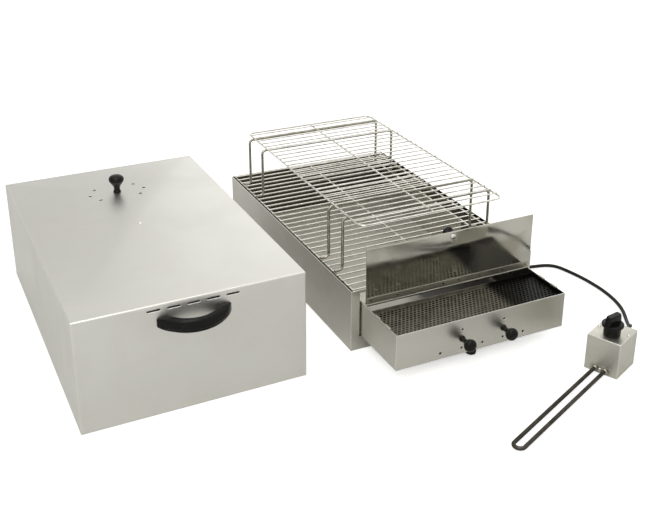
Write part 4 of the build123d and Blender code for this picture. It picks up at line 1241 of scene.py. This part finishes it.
def rod_shape(radius):
    """The heater's rod: out of the housing, a half circle at the tip, and back: tip + bend * (cos, sin)
    over half a turn."""
    start = -HOUSING[0] / 2 + 4.0
    turn_x = ROD_TIP + ROD_BEND + radius
    angle = np.linspace(np.pi / 2, 3 * np.pi / 2, 17)
    bend = [turn_x, ROD_MIDDLE] + ROD_BEND * np.column_stack([np.cos(angle), np.sin(angle)])
    flat = np.concatenate([[[start, ROD_MIDDLE + ROD_BEND]], bend, [[start, ROD_MIDDLE - ROD_BEND]]])
    return wire(np.insert(flat, 2, ROD_LEVEL, axis=1), radius, UP, 20)


class SMOKER_OT_heater(bpy.types.Operator):
    """Makes the heater's housing, element rod and their small parts"""

    bl_idname = "smoker.heater"
    bl_label = "Heater"

    def execute(self, context):
        s = context.scene.smoker_sizes
        width, length, tall = HOUSING
        cover = folded_cover(width, length, tall, s.sheet * 1000, HOUSING_FOLD)
        make_piece("housing_cover", in_housing(cover), "heater", "housing_sheet", ["heater_cover"], 30)
        dress("housing_sheet", "heater_base")
        dress("inner_plastic", "regulator", "terminal_block")
        dress("dull_steel", "element_flange")
        for side, name in ((1, "back"), (-1, "front")):
            head = turned(dome_outline(2.6, 1.5), [SCREW_PLACE[0], side * SCREW_PLACE[1], tall], UP, 24)
            node = "cover_screw_" + name
            make_piece("cover_dome_" + name, in_housing(head), "heater", "screw_steel", [node])
        rod = in_housing(rod_shape(s.rod * 500))
        make_piece("heater_rod", rod, "heater", "element_steel", ["heating_element"])
        flange = -width / 2 - FLANGE_SHEET
        bead_side = softened([(3.3, 0.0), (4.9, 0.0), (4.9, 0.9), (4.0, 2.0), (3.3, 2.3)])
        bead = turned(bead_side, [flange, ROD_MIDDLE, ROD_LEVEL], LEFT, 24)
        beads = in_housing(repeated(bead, np.outer((ROD_BEND, -ROD_BEND), BACK)))
        make_piece("rod_collars", beads, "heater", "screw_steel", look="dull_steel")
        head = turned(dome_outline(3.3, 2.0), [flange, ROD_MIDDLE, ROD_LEVEL], LEFT, 24)
        make_piece("flange_dome", in_housing(head), "heater", "screw_steel", ["flange_screw"])
        gland = turned(
            softened([(6.0, -4.0), (6.0, 0.0), (8.0, 0.0), (8.0, 4.6), (7.2, 6.0), (5.0, 6.0)], 1),
            [width / 2, *GLAND_PLACE], RIGHT, 36, 12, 0.5, (0.5, 4.2),
        )
        make_piece("cord_gland", in_housing(gland), "heater", "plug_black", ["cable_gland"])
        return {"FINISHED"}


def grip_shape(reach, half_width, bottom, top):
    """The bar grip of the selector: rectangles with rounded corners that climb from bottom to top and
    shrink by 1 - 0.10 h - 0.32 * max(h - 0.75, 0) for shares h of the height."""
    rings = []
    for share in (0.0, 0.25, 0.75, 0.92, 1.0):
        draw = 1 - 0.10 * share - 0.32 * max(share - 0.75, 0)
        level = bottom + (top - bottom) * share
        rings.append(frame_loop(2 * reach * draw, 2 * half_width * draw, 2.6 * draw, level, 4))
    return skin(rings)


class SMOKER_OT_selector(bpy.types.Operator):
    """Makes the selector knob: fluted skirt, wide flange and bar grip"""

    bl_idname = "smoker.selector"
    bl_label = "Selector"

    def execute(self, context):
        bottom = HOUSING[2] + SELECTOR_GAP
        top = node_box("selector_knob")[1][2]
        place = [*SELECTOR, bottom]
        skirt_side = [
            (3.0, -16.0), (3.0, 0.0), (13.4, 0.0), (14.4, 0.8), (14.4, 14.5), (13.6, 16.0), (9.0, 16.2),
        ]
        skirt = turned(softened(skirt_side, 1), place, UP, 96, 24, 0.5, (2.0, 13.0))
        flange_side = [(9.0, 15.6), (17.4, 15.8), (18.5, 16.6), (18.5, 20.2), (17.6, 21.3), (9.0, 21.6)]
        flange = turned(softened(flange_side), place, UP, 96, 36, 0.35, (16.9, 20.0))
        grip = placed(grip_shape(16.6, 5.5, bottom + 20.8, top), (*SELECTOR, 0.0), SELECTOR_TURN)
        knob = in_housing(joined(skirt, flange, grip))
        make_piece("selector_grip", knob, "selector", "black_knob", ["selector_knob"], 32)
        return {"FINISHED"}


COIL_PLACE = (255.0, -81.0)
COIL_RADIUS = 41.5
COIL_PITCH = 7.2
CORD_LEVEL = 3.4
UPPER_LEVEL = 10.5
PLUG_LEVEL = 18.6
RELIEF_LENGTH = 20.0


def housing_spot(x, y, z):
    """One point on the housing's axes, in millimetres in the frame."""
    return in_housing((np.array([[x, y, z]], float), []))[0][0].tolist()


def lead_route():
    """The lead's route, the same points as the solid's: from the relief down to the floor and round
    to the coil, then the coil's turns and the end at the plug. A half turn from spot one to spot two
    has six points at middle + (one - middle) * cos a / cos 15 + (0, radius, 0) * sin a / cos 15."""
    begin = HOUSING[0] / 2 + GLAND_LENGTH + RELIEF_LENGTH
    coil_x, coil_y = COIL_PLACE
    route = [
        housing_spot(begin, *GLAND_PLACE),
        housing_spot(begin + 23, *GLAND_PLACE),
        housing_spot(112, 15, 19),
        housing_spot(148, 34, CORD_LEVEL),
        [343, -382, CORD_LEVEL],
        [356, -325, CORD_LEVEL],
        [355, -268, CORD_LEVEL],
        [347, -222, CORD_LEVEL],
        [334, -180, CORD_LEVEL],
        [284, -169.5, CORD_LEVEL],
        [coil_x - COIL_RADIUS, -152, CORD_LEVEL],
        [coil_x - COIL_RADIUS, coil_y - 7.0, CORD_LEVEL],
    ]
    spots = []
    for turn, step in enumerate([0.0, -0.5, -1.0, -1.5, -2.0, -2.5, -1.5, -1.0, -0.5]):
        side = 1 if turn % 2 else -1
        level = CORD_LEVEL if turn < 5 else UPPER_LEVEL
        spots.append(np.array([coil_x + side * (COIL_RADIUS + step * COIL_PITCH), coil_y, level]))
    angle = np.radians(np.arange(15, 180, 30))[:, None]
    stretch = np.cos(np.radians(15))
    for turn, (one, two) in enumerate(zip(spots[:-1], spots[1:])):
        middle = (one + two) / 2
        radius = np.linalg.norm(two - one) / 2 * (-1 if turn % 2 else 1)
        along = (one - middle) * (np.cos(angle) / stretch)
        route.extend((middle + along + np.array([0, radius, 0]) * (np.sin(angle) / stretch)).tolist())
    last = spots[-1]
    route.append((last + np.array([0, 26, 0])).tolist())
    route.append((last + np.array([0, 62, PLUG_LEVEL - UPPER_LEVEL])).tolist())
    route.append([last[0], 0.0, PLUG_LEVEL])
    return np.array(route) / 1000.0


def relief_shape():
    """The ribbed strain relief: five rings that narrow by a share of their distance, each a rib and a
    groove, turned about the lead."""
    outline = [(8.0, 0.0), (6.0, 0.4), (6.0, 1.5)]
    for ring in range(5):
        at = 2.5 + ring * 3.4
        rib = 6.0 - at * 0.082
        outline += [(rib, at), (rib, at + 1.7), (rib - 0.9, at + 1.9), (rib - 0.9, at + 3.2)]
    outline += [(4.2, RELIEF_LENGTH - 0.4), (3.3, RELIEF_LENGTH)]
    return turned(outline, [HOUSING[0] / 2 + GLAND_LENGTH, *GLAND_PLACE], RIGHT, 32)


def plug_shape():
    """The round moulded plug: a soft outline from the lead to the face, with finger grooves."""
    low, high, _ = node_box("plug")
    end = high[1] - low[1]
    outline = softened([
        (3.3, 0.0), (4.4, 0.0), (5.2, 8.0), (7.6, 20.0), (11.2, 23.5), (15.0, 31.0), (18.0, 38.0),
        (18.5, 41.0), (18.5, end - 6.5), (18.2, end - 6.0), (18.2, end - 0.8), (17.4, end),
        (15.5, end), (15.2, end - 1.2), (0.4, end - 1.2),
    ])
    return turned(outline, face_middle(low, high, BACK), BACK, 72, 18, 0.9, (36.0, end - 8.0))


def pin_shape(node):
    """One round pin with an eased tip."""
    low, high, _ = node_box(node)
    radius = (high[0] - low[0]) / 2
    tip = high[1] - low[1]
    line = softened([(radius, 0.0), (radius, tip - 1.6), (radius * 0.62, tip - 0.3), (0.3, tip)])
    return turned(line, face_middle(low, high, BACK), BACK, 24)


class SMOKER_OT_lead(bpy.types.Operator):
    """Lays the mains lead as one smooth curve, with its relief, coil and plug"""

    bl_idname = "smoker.lead"
    bl_label = "Mains lead"

    def execute(self, context):
        s = context.scene.smoker_sizes
        route = lead_route()
        curve = bpy.data.curves.new("mains_lead", "CURVE")
        curve.dimensions = "3D"
        curve.bevel_depth = s.cord / 2
        curve.bevel_resolution = 5
        curve.resolution_u = 8
        curve.use_fill_caps = True
        spline = curve.splines.new("NURBS")
        spline.points.add(len(route) - 1)
        spline.points.foreach_set("co", np.column_stack([route, np.ones(len(route))]).ravel())
        spline.order_u = 3
        spline.use_endpoint_u = True
        spline.resolution_u = 8
        curve.materials.append(finish_for("cord_black"))
        lead = bpy.data.objects.new("mains_lead", curve)
        context.scene.collection.objects.link(lead)
        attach(lead, "heater")
        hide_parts("cord", "cord_coil")
        make_piece("lead_relief", in_housing(relief_shape()), "heater", "plug_black", ["cord_relief"], 40)
        plug = make_piece("moulded_plug", plug_shape(), "heater", "plug_black", ["plug"], 40)
        for side in ("left", "right"):
            node = "plug_pin_" + side
            make_piece("round_pin_" + side, pin_shape(node), "heater", "pin_brass", [node])
        return {"FINISHED"}


# Stage

LIT_POINT = (-0.1, 0, 0.1)
GLINT_POINT = (0.0, -0.2, 0.1)
FLOOR_REACH = 9.0
FLOOR_LEVEL = -0.0004


def pale_world(scene, fill):
    """A pale room. The camera sees it white. Mirrors and glass see it greyer above the horizon and to
    the left, with a soft panel and a small bright lamp overhead, and other rays see an even soft light."""
    world = bpy.data.worlds.new("pale_room")
    scene.world = world
    world.use_nodes = True
    tree = world.node_tree
    tree.nodes.clear()
    aim = parts_of(tree, add(tree, "TexCoord").outputs["Generated"])
    seen = add(tree, "LightPath").outputs
    height = ranged(tree, aim["Z"], 0.30, 0.62, 1.0, 0.66, "SMOOTHSTEP")
    panel = ranged(tree, aim["Z"], 0.66, 0.86, 0.0, 0.75, "SMOOTHSTEP")
    lamp = ranged(tree, aim["Z"], 0.960, 0.985, 0.0, 4.0, "SMOOTHSTEP")
    side = ranged(tree, aim["X"], 0.15, 0.60, 0.80, 1.0, "SMOOTHSTEP")
    above = number(tree, "ADD", number(tree, "ADD", height, panel), lamp)
    room = number(tree, "MULTIPLY", above, side)
    even = add(tree, "Background", {"Color": (1.0, 0.995, 0.97), "Strength": fill})
    mirrored = add(tree, "Background", {"Color": (1.0, 0.995, 0.965), "Strength": room})
    white = add(tree, "Background", {"Color": (1.0, 1.0, 1.0), "Strength": 1.0})
    shiny = number(tree, "MAXIMUM", seen["Is Glossy Ray"], seen["Is Transmission Ray"])
    light = add(tree, "MixShader", {0: shiny, 1: even.outputs[0], 2: mirrored.outputs[0]})
    shown = add(tree, "MixShader", {0: seen["Is Camera Ray"], 1: light.outputs[0], 2: white.outputs[0]})
    add(tree, "OutputWorld", {0: shown.outputs[0]})


def floor_finish():
    """White floor that keeps soft shadows: a pale diffuse floor, lifted to white for the camera where
    any open sky is in sight, so that the inside of the closed lid stays dark."""
    finish = bpy.data.materials.new("pale_floor")
    finish.use_nodes = True
    tree = finish.node_tree
    tree.nodes.clear()
    matt = add(tree, "BsdfDiffuse", {"Color": (0.82, 0.82, 0.81)})
    sky = add(tree, "AmbientOcclusion", {"Distance": 1.2}, samples=12).outputs["AO"]
    opened = ranged(tree, sky, 0.0, 0.02, 0.0, 0.62)
    share = number(tree, "MULTIPLY", add(tree, "LightPath").outputs["Is Camera Ray"], opened)
    lift = add(tree, "Emission", {"Strength": share})
    both = add(tree, "AddShader", {0: matt.outputs[0], 1: lift.outputs[0]})
    add(tree, "OutputMaterial", {0: both.outputs[0]})
    return finish


def soft_lamp(name, place, aim, size, power, colour):
    """A square soft light at a place, turned to look at a point: pitch = 90 degrees + the angle that
    the aim rises, and turn = its compass angle - 90 degrees."""
    lamp = bpy.data.lights.new(name, "AREA")
    lamp.shape = "SQUARE"
    lamp.size = size
    lamp.energy = power
    lamp.color = colour
    holder = bpy.data.objects.new(name, lamp)
    bpy.context.scene.collection.objects.link(holder)
    holder.location = place
    x, y, z = np.array(aim) - np.array(place)
    holder.rotation_euler = (np.pi / 2 + np.arctan2(z, np.hypot(x, y)), 0, np.arctan2(y, x) - np.pi / 2)


class SMOKER_OT_stage(bpy.types.Operator):
    """Sets the camera, the pale floor and the soft lights"""

    bl_idname = "smoker.stage"
    bl_label = "Stage"

    def execute(self, context):
        stage = context.scene.smoker_stage
        camera = bpy.data.cameras.new("viewpoint")
        camera.sensor_width = 36.0
        camera.lens = stage.lens
        camera.shift_x, camera.shift_y = stage.shift
        holder = bpy.data.objects.new("viewpoint", camera)
        context.scene.collection.objects.link(holder)
        holder.location = stage.place
        holder.rotation_euler = (np.pi / 2 - stage.pitch, 0, -stage.turn)
        context.scene.camera = holder
        context.scene.view_settings.view_transform = "Standard"
        pale_world(context.scene, stage.fill)
        top_power = stage.key_power * 0.30
        soft_lamp("key_light", (-1.5, -2.3, 2.6), LIT_POINT, 2.4, stage.key_power, (1.0, 0.99, 0.96))
        soft_lamp("top_light", (1.7, 2.6, 1.9), LIT_POINT, 2.6, top_power, (1.0, 1.0, 0.98))
        soft_lamp("spark_light", (-1.6, -1.9, 1.9), GLINT_POINT, 0.28, stage.spark_power, (1.0, 1.0, 0.99))
        mesh = bpy.data.meshes.new("floor")
        corners = np.array([(-1, -1), (1, -1), (1, 1), (-1, 1)]) * FLOOR_REACH
        mesh.from_pydata(np.insert(corners, 2, FLOOR_LEVEL, axis=1).tolist(), [], [[0, 1, 2, 3]])
        mesh.materials.append(floor_finish())
        floor = bpy.data.objects.new("floor", mesh)
        context.scene.collection.objects.link(floor)
        return {"FINISHED"}


class SMOKER_PT_panel(bpy.types.Panel):
    """Lists the smoker's pieces and their sizes"""

    bl_idname = "SMOKER_PT_panel"
    bl_label = "Electric smoker"
    bl_space_type = "VIEW_3D"
    bl_region_type = "UI"
    bl_category = "Smoker"

    def draw(self, context):
        layout = self.layout
        for step in STEPS:
            layout.operator("smoker." + step)
        for name in GROUPS:
            box = layout.box()
            box.label(text=name.replace("smoker_", "").capitalize())
            settings = getattr(context.scene, name)
            for key in settings.__annotations__:
                box.prop(settings, key)


STEPS = (
    "stage", "pan", "grill", "rack", "box", "dampers", "flap", "tray", "lid", "heater", "selector", "lead",
)
GROUPS = {"smoker_sizes": SmokerSizes, "smoker_finishes": SmokerFinishes, "smoker_stage": SmokerStage}
OPERATORS = (
    SMOKER_OT_stage, SMOKER_OT_pan, SMOKER_OT_grill, SMOKER_OT_rack, SMOKER_OT_box, SMOKER_OT_dampers,
    SMOKER_OT_flap, SMOKER_OT_tray, SMOKER_OT_lid, SMOKER_OT_heater, SMOKER_OT_selector, SMOKER_OT_lead,
)
CLASSES = (*GROUPS.values(), *OPERATORS, SMOKER_PT_panel)


def register():
    """Registers the classes and hangs the property groups on the scene."""
    for kind in CLASSES:
        bpy.utils.register_class(kind)
    for name, group in GROUPS.items():
        setattr(bpy.types.Scene, name, bpy.props.PointerProperty(type=group))


def unregister():
    """Takes the property groups and classes away again."""
    for name in GROUPS:
        delattr(bpy.types.Scene, name)
    for kind in reversed(CLASSES):
        bpy.utils.unregister_class(kind)


def main():
    """Builds everything in order."""
    register()
    for step in STEPS:
        getattr(bpy.ops.smoker, step)()


if __name__ == "__main__":
    main()
